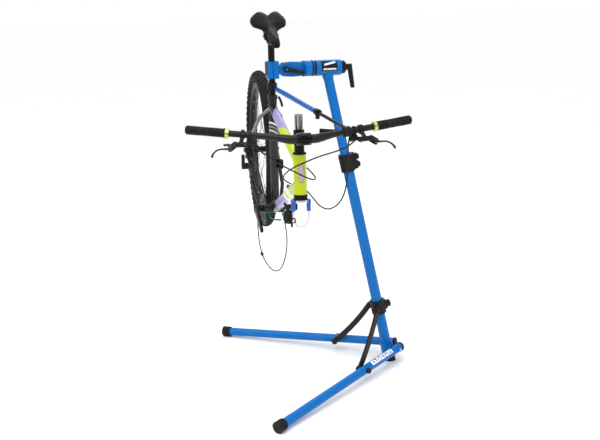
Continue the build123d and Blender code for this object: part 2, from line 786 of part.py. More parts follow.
def lever_plane(side, lift=0.0):
    """The plane of one brake lever.  Its x runs out along the bar and its y away from the bar."""
    origin = on_bar(side, lever_clamp_left)
    outward = (on_bar(side, lever_clamp_left + 1) - origin).normalized()
    normal = outward.cross(reach_direction).normalized()
    return Plane(origin=origin + normal * lift, x_dir=outward, z_dir=normal)


def near_bar(side, left, drop):
    """A point under the bar, on the shifter's side of it."""
    return on_bar(side, left) + below_direction * drop


lever_bodies = []
for side in (-1, 1):
    plane = lever_plane(side)
    with BuildPart() as lever_body:
        with BuildSketch(Plane(origin=plane.origin, z_dir=plane.x_dir)):
            Circle(16)
        extrude(amount=7, both=True)
        add(rod(plane.from_local_coords((-22, 38, 0)), plane.from_local_coords((24, 43, 0)), 9).part)
        add(rod(plane.from_local_coords((0, 10, 0)), plane.from_local_coords((4, 40, 0)), 7).part)
        for lift in (-8.9, 8.9):
            with BuildSketch(lever_plane(side, lift)):
                with Locations(blade_pivot):
                    Circle(7)
                with Locations((22, 43)):
                    Circle(7)
                make_hull()
            extrude(amount=1.5, both=True)
        with BuildSketch(plane):
            with Locations(blade_pivot):
                Circle(3)
        extrude(amount=10.4, both=True)
        add(rod(plane.from_local_coords((-12, 0, 0)), plane.from_local_coords((12, 0, 0)), bar_thin).part,
            mode=Mode.SUBTRACT)
    lever_bodies.append(lever_body)
    with BuildPart() as blade:
        with BuildSketch(plane):
            with Locations(blade_pivot):
                Circle(6.5)
                Circle(3 + running_gap, mode=Mode.SUBTRACT)
        extrude(amount=7, both=True)
        with BuildLine(plane) as blade_path:
            FilletPolyline((blade_pivot[0] + 6.2, blade_pivot[1] + 1.5, 0), (62, 64, 0), (80, 70, 0),
                           (91, 84, 0), (94, 100, 0), radius=[30, 18, 18])
        with BuildSketch(Plane(blade_path.line ^ 0)):
            Circle(4.4)
        sweep()
        with BuildSketch(plane):
            with Locations(blade_pivot):
                Circle(3 + running_gap)
        extrude(amount=8, both=True, mode=Mode.SUBTRACT)
    save(blade, "brake_blade_" + ("right", "left")[side > 0])

paddle_pivot = shifter_left + 4
pods = []
for side in (-1, 1):
    with BuildPart() as pod:
        add(rod(on_bar(side, shifter_left - 5), on_bar(side, shifter_left + 5), 15).part)
        add(rod(near_bar(side, shifter_left, 8), near_bar(side, shifter_left, 22), 8).part)
        add(rod(near_bar(side, shifter_left - 14, 28), near_bar(side, shifter_left + 12, 28), 11).part)
        add(rod(on_bar(side, shifter_left - 9), on_bar(side, shifter_left + 9), bar_thin).part,
            mode=Mode.SUBTRACT)
        if side < 0:
            add(rod(near_bar(side, paddle_pivot, 36), near_bar(side, paddle_pivot, 47), 3).part)
    pods.append(pod)
control_bodies = group(*lever_bodies, *pods)
save(control_bodies, "control_bodies")

paddle_root = near_bar(-1, paddle_pivot + 6, 43)
paddle_tip = near_bar(-1, 258, 42)
with BuildPart() as shift_lever:
    add(rod(near_bar(-1, paddle_pivot, 40), near_bar(-1, paddle_pivot, 46), 9).part)
    add(rod(paddle_root, paddle_tip, 2.8).part)
    add(rod(near_bar(-1, paddle_pivot, 38), near_bar(-1, paddle_pivot, 50), 3 + running_gap).part,
        mode=Mode.SUBTRACT)
    with BuildSketch(Plane(origin=paddle_tip, x_dir=bike_left, z_dir=below_direction)):
        RectangleRounded(24, 14, 5)
    extrude(amount=2, both=True)
save(shift_lever, "shift_lever")

# ---------------------------------------------------------------- bicycle: cranks, chain and gears
crank_left_offset = 84.0
crank_thickness = 13.0
crank_forward = (-crank_length * cos(crank_drop), bottom_bracket_up - crank_length * sin(crank_drop))
crank_back = (crank_length * cos(crank_drop), bottom_bracket_up + crank_length * sin(crank_drop))
pedal_hole_radius = 7.14
spindle_half = crank_left_offset - crank_thickness / 2 - running_gap
spindle = rod(on_bike(-spindle_half, 0, bottom_bracket_up),
              on_bike(spindle_half, 0, bottom_bracket_up), spindle_radius)
crank_arms = []
for side, pedal in ((-1, crank_forward), (1, crank_back)):
    with BuildPart() as crank_arm:
        with BuildSketch(side_plane(side * crank_left_offset)):
            with Locations(bracket_place):
                Circle(19)
            with Locations(pedal):
                Circle(13)
            make_hull()
            with Locations(pedal):
                Circle(pedal_hole_radius, mode=Mode.SUBTRACT)
        extrude(amount=crank_thickness / 2, both=True)
    crank_arms.append(crank_arm)
save(group(spindle, *crank_arms), "cranks")

def sprocket_radius(teeth):
    """The circle on which a chain's pins lie round a toothed wheel."""
    return chain_pitch / (2 * sin(pi / teeth))


chain_half_height = 3.8
chain_half_width = 3.0
wheel_drop = chain_half_height + 0.6          # from the pins' circle down to the plain wheel
ring_radius = sprocket_radius(chainring_teeth) - wheel_drop
with BuildPart() as chainring:
    with BuildSketch(side_plane(chain_line)):
        with Locations(bracket_place):
            Circle(ring_radius)
            Circle(spindle_radius, mode=Mode.SUBTRACT)
            with PolarLocations(37, 4, start_angle=28):
                Circle(12.5, mode=Mode.SUBTRACT)
    extrude(amount=1.6, both=True)
save(chainring, "chainring")

cog_radius = sprocket_radius(cog_teeth) - wheel_drop
cogs = ((-31, 66), (-35.5, 59), (-40, 52), (-44.3, 46), (-49, cog_radius), (-53.8, 34), (-58.5, 28))
freehub_radius = 14.0
with BuildPart() as cassette:
    for left, radius in cogs:
        with BuildSketch(side_plane(left)):
            with Locations(axle_place):
                Circle(radius)
        extrude(amount=0.9, both=True)
    with BuildSketch(side_plane(-61)):
        with Locations(axle_place):
            Circle(19)
    extrude(amount=31)
    with BuildSketch(side_plane(-62)):
        with Locations(axle_place):
            Circle(freehub_radius + running_gap)
    extrude(amount=34, mode=Mode.SUBTRACT)
save(cassette, "cassette")

pulley_radius = sprocket_radius(pulley_teeth) - wheel_drop
pulley_guide = (axle_rear + 18, axle_up - 79)
pulley_tension = (axle_rear - 20, axle_up - 150)


def belt_tangents(circles):
    """Where straight runs leave and meet each (place, radius, turn) circle of a closed loop."""
    ends = []
    for index, (place, radius, turn) in enumerate(circles):
        next_place, next_radius, next_turn = circles[(index + 1) % len(circles)]
        gap = Vector(*next_place) - Vector(*place)
        cosine = (turn * radius - next_turn * next_radius) / gap.length
        normal = gap.normalized().rotate(Axis.Z, -degrees(acos(cosine)))
        leave = Vector(*place) + normal * (turn * radius)
        reach = Vector(*next_place) + normal * (next_turn * next_radius)
        ends.append((leave, reach))
    return ends


def arc_middle(place, radius, first, last, turn):
    """The point half way round a circle from first to last, turning the given way."""
    centre = Vector(*place)
    angle = (first - centre).get_signed_angle(last - centre, Vector(0, 0, 1)) % 360
    if turn < 0:
        angle -= 360
    return centre + (first - centre).rotate(Axis.Z, angle / 2)


def chain_outline(offset):
    """The closed line of the chain, shifted outwards by an offset."""
    circles = [(bracket_place, sprocket_radius(chainring_teeth) + offset, 1),
               (pulley_tension, sprocket_radius(pulley_teeth) + offset, 1),
               (pulley_guide, sprocket_radius(pulley_teeth) - offset, -1),
               (axle_place, sprocket_radius(cog_teeth) + offset, 1)]
    runs = belt_tangents(circles)
    for index, (place, radius, turn) in enumerate(circles):
        arrive = runs[index - 1][1]
        leave, reach = runs[index]
        ThreePointArc(arrive, arc_middle(place, radius, arrive, leave, turn), leave)
        Line(leave, reach)


with BuildPart() as chain:
    with BuildSketch(side_plane(chain_line)):
        with BuildLine():
            chain_outline(chain_half_height)
        make_face()
        with BuildLine():
            chain_outline(-chain_half_height)
        make_face(mode=Mode.SUBTRACT)
    extrude(amount=chain_half_width, both=True)
save(chain, "chain")

pulleys = []
for place, name in ((pulley_guide, "guide_pulley"), (pulley_tension, "tension_pulley")):
    with BuildPart() as pulley:
        with BuildSketch(side_plane(chain_line)):
            with Locations(place):
                Circle(pulley_radius)
                Circle(4 + running_gap, mode=Mode.SUBTRACT)
        extrude(amount=2.2, both=True)
    save(pulley, name)

with BuildPart() as rear_derailleur:
    for left in (chain_line - 6, chain_line + 6):
        with BuildSketch(side_plane(left)):
            for place in (pulley_guide, pulley_tension):
                with Locations(place):
                    Circle(10)
            make_hull()
        extrude(amount=1, both=True)
    for place in (pulley_guide, pulley_tension):
        with BuildSketch(side_plane(chain_line)):
            with Locations(place):
                Circle(4)
        extrude(amount=6.5, both=True)
    with BuildSketch(side_plane(-56)):
        with Locations(pulley_guide):
            Circle(15)
    extrude(amount=-36)
    with BuildSketch(side_plane(-85)):
        with Locations(pulley_guide):
            Circle(12)
        with Locations((axle_rear + 10, axle_up - 34)):
            Circle(11)
        make_hull()
    extrude(amount=7, both=True)
    with BuildSketch(side_plane(-74)):
        with Locations((axle_rear + 10, axle_up - 34)):
            Circle(8)
    extrude(amount=8)
    with BuildSketch(side_plane(-69)):
        with Locations((axle_rear + 10, axle_up - 34), (axle_rear + 5, axle_up - 22)):
            Circle(8)
        make_hull()
    extrude(amount=3, both=True)
    with BuildSketch(side_plane(-70)):
        with Locations(axle_place):
            Circle(19.1)
    extrude(amount=4.5, both=True, mode=Mode.SUBTRACT)
save(rear_derailleur, "rear_derailleur")

# ---------------------------------------------------------------- bicycle: rear wheel
wheel_section = Plane(origin=on_bike(0, axle_rear, axle_up), x_dir=(0, 0, 1), z_dir=bike_rear)
wheel_axis = Axis(on_bike(0, axle_rear, axle_up), bike_left)
tyre_middle = tyre_outer - tyre_width / 2
bead_radius = tyre_middle - 25.5
with BuildPart() as rear_tyre:
    with BuildSketch(wheel_section):
        with Locations((tyre_middle, 0)):
            Circle(tyre_width / 2)
            Circle(tyre_width / 2 - 4, mode=Mode.SUBTRACT)
        with Locations((bead_radius - 5, 0)):
            Rectangle(10, 60, mode=Mode.SUBTRACT)
    revolve(axis=wheel_axis)
save(rear_tyre, "rear_tyre")

rim_bottom = bead_radius - 19
half_rim = [(0, 8), (8, 14.5), (18.6, 14.5), (18.6, 12.5), (10, 11)]
rim_outline = [(rim_bottom + rise, left) for rise, left in half_rim]
rim_outline += [(rim_bottom + rise, -left) for rise, left in reversed(half_rim)]
with BuildPart() as rear_rim:
    with BuildSketch(wheel_section):
        with BuildLine():
            Polyline(*rim_outline, close=True)
        make_face()
    revolve(axis=wheel_axis)

flange_radius = 27.8
flange_places = (28.0, -20.0)
rotor_left = 54.0
rotor_radius = 80.0
with BuildPart() as rear_hub:
    with BuildSketch(side_plane(-62)):
        with Locations(axle_place):
            Circle(freehub_radius)
    extrude(amount=122)
    for left in flange_places:
        with BuildSketch(side_plane(left)):
            with Locations(axle_place):
                Circle(flange_radius)
        extrude(amount=1.5, both=True)
    with BuildSketch(side_plane(rotor_left)):
        with Locations(axle_place):
            Circle(rotor_radius)
            Circle(66, mode=Mode.SUBTRACT)
            Circle(20)
            with PolarLocations(44, 5):
                Rectangle(48, 7)
    extrude(amount=0.9, both=True)
    with BuildSketch(side_plane(-64)):
        with Locations(axle_place):
            Circle(axle_bolt_radius + running_gap)
    extrude(amount=130, mode=Mode.SUBTRACT)
save(rear_hub, "rear_hub")

spoke_pairs = 7
spoke_cross = radians(58)
spoke_list = []
for flange in flange_places:
    for pair in range(spoke_pairs):
        for turn in (-1, 1):
            root_angle = 2 * pi * (pair + (0.0 if flange > 0 else 0.5)) / spoke_pairs
            rim_angle = root_angle + turn * spoke_cross
            root_radius = flange_radius + 0.5
            root = on_bike(flange + 2.2 * turn, axle_rear + root_radius * cos(root_angle),
                           axle_up + root_radius * sin(root_angle))
            tip_radius = rim_bottom - 0.4
            tip = on_bike(turn, axle_rear + tip_radius * cos(rim_angle),
                          axle_up + tip_radius * sin(rim_angle))
            spoke_list.append(rod(root, tip, 1.0))
save(group(rear_rim, *spoke_list), "rear_rim")

with BuildPart() as rear_caliper:
    with BuildSketch(side_plane(rotor_left)):
        with Locations((axle_rear - 66, axle_up + 8)):
            RectangleRounded(42, 32, 6)
    extrude(amount=13, both=True)
    with BuildSketch(side_plane(rotor_left)):
        with Locations(axle_place):
            Circle(rotor_radius + 2)
    extrude(amount=2, both=True, mode=Mode.SUBTRACT)
save(rear_caliper, "rear_caliper")

# ---------------------------------------------------------------- handlebar holder
holder_start = on_bike(13, -18, 1268)
holder_end = on_bike(158, -647, 1186)
holder_line = (holder_end - holder_start).normalized()
holder_joint = holder_start + holder_line * 398
cradle_left = 154.0
cradle_half = 11.0
with BuildPart() as holder_clamps:
    with BuildSketch(Plane.XY.offset(1262)):
        with Locations((seat_post_x, 0)):
            Circle(20)
    extrude(amount=30)
    add(rod(on_bike(8, -12, 1274), holder_start + holder_line * 8, 9).part)
    add(rod(on_bar(1, cradle_left - cradle_half), on_bar(1, cradle_left + cradle_half), 16.5).part)
    add(rod(on_bar(1, cradle_left), holder_end - holder_line * 8, 8).part)
    with BuildSketch(Plane.XY.offset(1250)):
        with Locations((seat_post_x, 0)):
            Circle(seat_post_radius)
    extrude(amount=60, mode=Mode.SUBTRACT)
    add(rod(on_bar(1, cradle_left - 20), on_bar(1, cradle_left + 20), bar_thin).part, mode=Mode.SUBTRACT)

holder_tube = rod(holder_start + holder_line * 8, holder_joint, 9.5, 7.5)
save(holder_tube, "holder_tube")
holder_rod = rod(holder_joint - holder_line * 120, holder_end - holder_line * 8, 6.4)
save(holder_rod, "holder_rod")
knob_out = bike_left.cross(holder_line).normalized()
with BuildPart() as holder_collar:
    add(rod(holder_joint + holder_line * 0.2, holder_joint + holder_line * 24, 13).part)
    knob_root = holder_joint + holder_line * 12 + knob_out * 8
    add(rod(knob_root, knob_root + knob_out * 16, 8).part)
    add(rod(holder_joint, holder_joint + holder_line * 30, 6.4).part, mode=Mode.SUBTRACT)
save(group(holder_clamps, holder_collar), "holder_clamps")

# ---------------------------------------------------------------- hoses and cable housings
hose_radius = 2.5
left_hose_route = [(-183, -685, 1152), (-160, -696, 1137), (-128, -708, 1114), (-88, -716, 1085),
                   (-38, -712, 1056), (8, -704, 1030), (38, -682, 1017), (45, -650, 1026), (22, -618, 1050)]
right_hose_route = [(183, -685, 1153), (160, -700, 1138), (126, -716, 1126), (84, -724, 1117),
                    (42, -721, 1106), (2, -708, 1088), (-36, -682, 1067), (-60, -644, 1040),
                    (-62, -600, 1015), (-46, -562, 994), (-22, -532, 978)]
shift_housing_route = [(167, -654, 1155), (156, -678, 1138), (150, -702, 1102), (147, -710, 1058),
                       (144, -708, 1012), (135, -704, 964), (114, -692, 926), (84, -670, 906),
                       (58, -638, 916), (44, -600, 940), (18, -566, 969)]
hanging_loop_route = [(-60, 96, 806), (-66, 84, 758), (-70, 68, 704), (-71, 52, 646), (-68, 30, 588),
                      (-54, -2, 532), (-26, -38, 496), (0, -70, 504), (18, -94, 552), (27, -106, 608),
                      (30, -104, 662), (26, -88, 714), (16, -62, 764)]


def bend_radii(points):
    """The radius at each corner: 0.45 of its shorter run over the tangent of half its turn."""
    places = [Vector(*point) for point in points]
    radii = []
    for before, corner, after in zip(places, places[1:], places[2:]):
        arriving, leaving = corner - before, after - corner
        half_turn = radians(arriving.get_angle(leaving)) / 2
        radii.append(0.45 * min(arriving.length, leaving.length) / tan(half_turn))
    return radii


for route, name in ((left_hose_route, "left_brake_hose"), (right_hose_route, "right_brake_hose"),
                    (shift_housing_route, "shift_housing"), (hanging_loop_route, "hanging_housing")):
    radii = bend_radii(route)
    hose = swept(route, radii, hose_radius)
    save(hose, name)
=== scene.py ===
import json
from math import acos, atan2, cos, exp, pi, radians, sin, sqrt, tau

import bmesh
import bpy
from mathutils import Matrix, Vector


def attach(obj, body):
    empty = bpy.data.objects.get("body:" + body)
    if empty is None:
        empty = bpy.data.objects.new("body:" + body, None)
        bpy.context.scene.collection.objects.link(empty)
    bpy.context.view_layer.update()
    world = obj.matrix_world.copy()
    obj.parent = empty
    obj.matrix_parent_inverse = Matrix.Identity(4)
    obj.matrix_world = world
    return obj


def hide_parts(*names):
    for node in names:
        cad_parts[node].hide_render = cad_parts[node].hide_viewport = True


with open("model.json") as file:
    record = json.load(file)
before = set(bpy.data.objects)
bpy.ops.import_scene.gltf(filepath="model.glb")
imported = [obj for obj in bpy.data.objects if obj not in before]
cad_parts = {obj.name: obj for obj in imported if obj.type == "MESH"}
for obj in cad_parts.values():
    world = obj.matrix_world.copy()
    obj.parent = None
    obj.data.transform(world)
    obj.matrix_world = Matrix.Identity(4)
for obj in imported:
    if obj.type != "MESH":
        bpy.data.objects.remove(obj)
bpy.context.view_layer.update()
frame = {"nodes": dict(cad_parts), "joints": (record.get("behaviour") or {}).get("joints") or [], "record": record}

scene = bpy.context.scene
nodes = frame["nodes"]
joints = {joint["name"]: joint for joint in frame["joints"]}


def pivot(joint):
    return Vector(joints[joint]["pos_m"])


def axis(joint):
    return Vector(joints[joint]["axis"])


# ------------------------------------------------------------------ the frame's own directions
UP = Vector((0, 0, 1))
bike_left = axis("crank_spin")
bike_rear = UP.cross(bike_left)
bracket = pivot("crank_spin")
axle = pivot("wheel_spin")
mast_up = axis("collar_slide")
mast_across = Vector((mast_up.z, 0, -mast_up.x))
head_axis = pivot("head_turn")


def bike(left, rear, up):
    """A point by its distance left of, behind and above the foot of the seat post's axis."""
    return Vector((bracket.x, bracket.y, 0)) + bike_left * left + bike_rear * rear + UP * up


def at(left, rear, up):
    """A point of the bicycle given in millimetres."""
    return bike(left / 1000, rear / 1000, up / 1000)


# In millimetres: the crank axle over the floor, the wheel's axle behind it and over the floor, and how far
# from the wheel's axle the rim begins.
BRACKET_UP, AXLE_REAR, AXLE_UP, RIM_FOOT = 765, 390, 953, 287
steering_tilt = radians(2.5)
steering_axis = bike_rear * sin(steering_tilt) + UP * cos(steering_tilt)
head_tube_middle = bike(0, -0.600, 1.025)


def on_steerer(along):
    """A point of the steerer's axis, in metres from the middle of the head tube."""
    return head_tube_middle + steering_axis * along


# ------------------------------------------------------------------ procedural materials
def rgb(red, green, blue):
    """A colour given in 0-255 display values, as the linear colour that a shader takes."""
    channels = [value / 255 for value in (red, green, blue)]
    return tuple(c / 12.92 if c < 0.04 else ((c + 0.055) / 1.055) ** 2.4 for c in channels) + (1,)


SCUFFED = (0.3, 0.31, 0.33, 1)


class Finish:
    """One procedural material, put together node by node around a Principled shader."""

    def __init__(self, name, **fixed):
        self.material = bpy.data.materials.new(name)
        self.material.use_nodes = True
        self.tree = self.material.node_tree
        self.shader = self.tree.nodes["Principled BSDF"]
        self.place = self.node("ShaderNodeTexCoord").outputs["Object"]
        self.normal = None
        self.shader.inputs["Specular IOR Level"].default_value = 0.28
        for name, value in fixed.items():
            self.shader.inputs[name.replace("_", " ")].default_value = value

    def node(self, kind, inputs=None, **settings):
        made = self.tree.nodes.new(kind)
        for key, value in settings.items():
            setattr(made, key, value)
        for key, value in (inputs or {}).items():
            self.join(made.inputs[key], value)
        return made

    def join(self, socket, value):
        if isinstance(value, bpy.types.NodeSocket):
            self.tree.links.new(value, socket)
        else:
            socket.default_value = value

    def set(self, **values):
        for name, value in values.items():
            self.join(self.shader.inputs[name.replace("_", " ")], value)

    def math(self, operation, first, second=0.0, clamp=False):
        inputs = {0: first, 1: second}
        return self.node("ShaderNodeMath", inputs, operation=operation, use_clamp=clamp).outputs[0]

    def times(self, first, second):
        return self.math("MULTIPLY", first, second)

    def plus(self, first, second, clamp=False):
        return self.math("ADD", first, second, clamp)

    def vector(self, operation, first, second, output=0):
        inputs = {0: first} if second is None else {0: first, 1: tuple(second)}
        return self.node("ShaderNodeVectorMath", inputs, operation=operation).outputs[output]

    def noise(self, size, detail=3.0, rough=0.55, stretch=None, warp=0.0):
        """Soft noise whose blotches are about size metres across."""
        place = self.place
        if stretch:
            place = self.vector("MULTIPLY", place, stretch)
        inputs = {"Vector": place, "Scale": 1 / size, "Detail": detail, "Roughness": rough,
                  "Distortion": warp}
        return self.node("ShaderNodeTexNoise", inputs).outputs[0]

    def cells(self, size, feature="F1"):
        inputs = {"Vector": self.place, "Scale": 1 / size}
        return self.node("ShaderNodeTexVoronoi", inputs, feature=feature).outputs["Distance"]

    def spread(self, value, low, high, to_low=0.0, to_high=1.0, smooth=False):
        kind = "SMOOTHSTEP" if smooth else "LINEAR"
        inputs = {"Value": value, "From Min": low, "From Max": high, "To Min": to_low, "To Max": to_high}
        return self.node("ShaderNodeMapRange", inputs, interpolation_type=kind).outputs["Result"]

    def between(self, value, low, high, soft=0.0004):
        """1 where value is from low to high, and 0 elsewhere."""
        above = self.spread(value, low - soft, low + soft, smooth=True)
        below = self.spread(value, high - soft, high + soft, 1.0, 0.0, smooth=True)
        return self.times(above, below)

    def along(self, origin, direction):
        """How far a point lies from origin in one direction."""
        return self.vector("DOT_PRODUCT", self.vector("SUBTRACT", self.place, origin), direction, "Value")

    def radius(self, origin, direction):
        """How far a point lies from the line through origin in one direction."""
        across = self.vector("CROSS_PRODUCT", self.vector("SUBTRACT", self.place, origin), direction)
        return self.vector("LENGTH", across, None, "Value")

    def blend(self, share, first, second, mode="MIX"):
        mixed = self.node("ShaderNodeMix", {0: share}, data_type="RGBA", blend_type=mode)
        self.join(mixed.inputs[6], first)
        self.join(mixed.inputs[7], second)
        return mixed.outputs[2]

    def shade(self, colour, amount, value):
        """A colour made lighter and darker by a 0-1 value."""
        factor = self.spread(value, 0.25, 0.75, 1 - amount, 1 + amount)
        grey = self.node("ShaderNodeCombineColor", {0: factor, 1: factor, 2: factor}).outputs[0]
        return self.blend(1.0, colour, grey, "MULTIPLY")

    def surface(self, base, rough):
        """Set the colour and the gloss, and keep both for paint that goes over them."""
        self.base, self.rough = base, rough
        self.set(Base_Color=base, Roughness=rough)
        return self

    def bump(self, height, depth):
        inputs = {"Height": height, "Distance": depth, "Strength": 1.0}
        if self.normal:
            inputs["Normal"] = self.normal
        self.normal = self.node("ShaderNodeBump", inputs).outputs[0]
        self.join(self.shader.inputs["Normal"], self.normal)


def coated(name, colour, roughness, cloud=0.05, peel=0.0016, peel_depth=0.00003, wear=0.0, **fixed):
    """Paint, powder coat, plastic or plain metal: clouded colour, orange peel, smudges and scuffs."""
    finish = Finish(name, **fixed)
    base = finish.shade(colour, cloud, finish.noise(0.05, 4))
    base = finish.shade(base, cloud * 0.6, finish.noise(0.004, 2))
    smudge = finish.noise(0.03, 5, 0.65, warp=1.5)
    rough = finish.spread(smudge, 0.3, 0.7, roughness * 0.8, min(roughness * 1.25, 1))
    if wear:
        scuffs = finish.noise(0.012, 8, 0.75, stretch=(1, 1, 0.35))
        mask = finish.spread(scuffs, 0.66 - wear * 0.1, 0.74, smooth=True)
        base = finish.blend(finish.times(mask, 0.75), base, SCUFFED)
        rough = finish.plus(rough, finish.times(mask, 0.2), clamp=True)
    finish.bump(finish.noise(peel, 2), peel_depth)
    return finish.surface(base, rough)


def metal(name, colour, roughness, brush=(1, 1, 1), brush_size=0.0012, **fixed):
    """Bare or anodised metal with fine brushing, handling marks and a little grime."""
    finish = Finish(name, Metallic=1.0, **fixed)
    lines = finish.noise(brush_size, 4, 0.7, stretch=brush)
    grime = finish.noise(0.018, 6, 0.7, warp=1.0)
    base = finish.shade(colour, 0.10, lines)
    base = finish.shade(base, 0.12, grime)
    rough = finish.spread(lines, 0.3, 0.7, roughness * 0.75, roughness * 1.3)
    rough = finish.plus(rough, finish.spread(grime, 0.55, 0.8, 0.0, 0.18))
    finish.bump(lines, 0.00002)
    return finish.surface(base, rough)


def moulded(name, colour, roughness, grain=0.0011, grain_depth=0.00012, cloud=0.08, **fixed):
    """Moulded plastic or rubber with a pebbled grain and slight dusting."""
    finish = Finish(name, **fixed)
    pebbles = finish.cells(grain)
    base = finish.shade(colour, cloud, finish.noise(0.025, 5))
    base = finish.shade(base, cloud * 0.7, pebbles)
    rough = finish.spread(finish.noise(0.02, 5, 0.65), 0.3, 0.7, roughness * 0.85, min(roughness * 1.15, 1))
    finish.bump(pebbles, grain_depth)
    finish.bump(finish.noise(0.006, 3), grain_depth * 0.6)
    return finish.surface(base, rough)


def paint_over(finish, mask, colour, roughness=None, metallic=None):
    """Another colour, and its gloss, where mask is 1."""
    finish.base = finish.blend(mask, finish.base, colour)
    finish.set(Base_Color=finish.base)
    if roughness is not None:
        keep = finish.times(finish.rough, finish.math("SUBTRACT", 1.0, mask))
        finish.rough = finish.plus(keep, finish.times(mask, roughness))
        finish.set(Roughness=finish.rough)
    if metallic is not None:
        finish.set(Metallic=finish.times(mask, metallic))
    return finish


BLUE = rgb(0, 99, 172)
DEEP_BLUE = rgb(4, 52, 128)
BLACK = rgb(15, 15, 16)
SOFT_BLACK = rgb(22, 21, 21)
LIME = rgb(176, 194, 6)
LAVENDER = rgb(144, 136, 184)
WHITE = rgb(236, 237, 240)
STEEL = rgb(172, 170, 170)


def powder_coat(name, roughness, wear):
    return coated(name, BLUE, roughness, cloud=0.04, peel=0.0022, peel_depth=0.00012, wear=wear,
                  Coat_Weight=0.05, Coat_Roughness=0.12, Specular_IOR_Level=0.16)


blue_paint = powder_coat("blue_powder_coat", 0.34, 0.25)
black_metal = coated("black_cast_metal", BLACK, 0.42, cloud=0.08, peel=0.0013, peel_depth=0.00022, wear=0.3)
black_plastic = moulded("black_plastic", BLACK, 0.44, Specular_IOR_Level=0.2)
black_rubber = moulded("black_rubber", SOFT_BLACK, 0.72, grain=0.0016, grain_depth=0.0002, cloud=0.14)
black_alloy = metal("black_anodised_alloy", rgb(26, 26, 28), 0.36, Coat_Weight=0.15)
silver_steel = metal("bright_steel", STEEL, 0.22)
dark_steel = metal("dark_steel", rgb(74, 70, 66), 0.34)
blue_anodised = metal("blue_anodised", DEEP_BLUE, 0.26, Coat_Weight=0.3)
lime_anodised = metal("lime_anodised", LIME, 0.3, Coat_Weight=0.2)
ring_alloy = metal("pale_lime_rings", rgb(188, 208, 128), 0.34)
green_anodised = metal("green_anodised", rgb(10, 136, 84), 0.4)
olive_anodised = metal("olive_anodised", rgb(84, 118, 44), 0.4)
hose_skin = coated("hose_skin", rgb(9, 9, 9), 0.4, cloud=0.06, peel=0.0006)
tyre_rubber = moulded("tyre_rubber", rgb(22, 19, 16), 0.82, grain=0.0009, grain_depth=0.00008, cloud=0.22)
grip_rubber = moulded("grip_rubber", rgb(20, 19, 19), 0.68, grain=0.0007, grain_depth=0.00006, cloud=0.16)
bar_alloy = coated("satin_handlebar", rgb(20, 17, 16), 0.38, cloud=0.1, peel=0.0009, peel_depth=0.00004,
                   wear=0.1)
lever_alloy = metal("lever_alloy", rgb(36, 33, 33), 0.3, Coat_Weight=0.2)
lime_paint = coated("lime_frame_paint", LIME, 0.3, cloud=0.04, Coat_Weight=0.2, Coat_Roughness=0.1)


def make_leather():
    finish = Finish("saddle_leather", Sheen_Weight=0.01, Specular_IOR_Level=0.14)
    grain = finish.cells(0.0016, "SMOOTH_F1")
    creases = finish.noise(0.011, 7, 0.7, warp=0.8)
    base = finish.shade(rgb(19, 17, 17), 0.16, finish.noise(0.05, 4))
    base = finish.shade(base, 0.14, grain)
    polish = finish.spread(finish.noise(0.06, 3), 0.35, 0.65, 0.44, 0.6)
    finish.bump(creases, 0.0003)
    finish.bump(grain, 0.00022)
    return finish.surface(base, polish)


saddle_leather = make_leather()


def tube_paint(name, start, end, bands, first, roughness=0.32):
    """Paint that changes along a tube: bands are (distance, colour, slant), each lasting to the next."""
    finish = coated(name, first, roughness, Coat_Weight=0.2, Coat_Roughness=0.12)
    direction = (end - start).normalized()
    over = finish.along(start, direction)
    sideways = finish.along(start, bike_left)
    upwards = finish.along(start, direction.cross(bike_left).normalized())
    for distance, colour, slant in bands:
        edge = finish.plus(over, finish.times(sideways, slant))
        edge = finish.plus(edge, finish.times(upwards, slant * 0.7))
        paint_over(finish, finish.spread(edge, distance - 0.001, distance + 0.001, smooth=True), colour)
    return finish


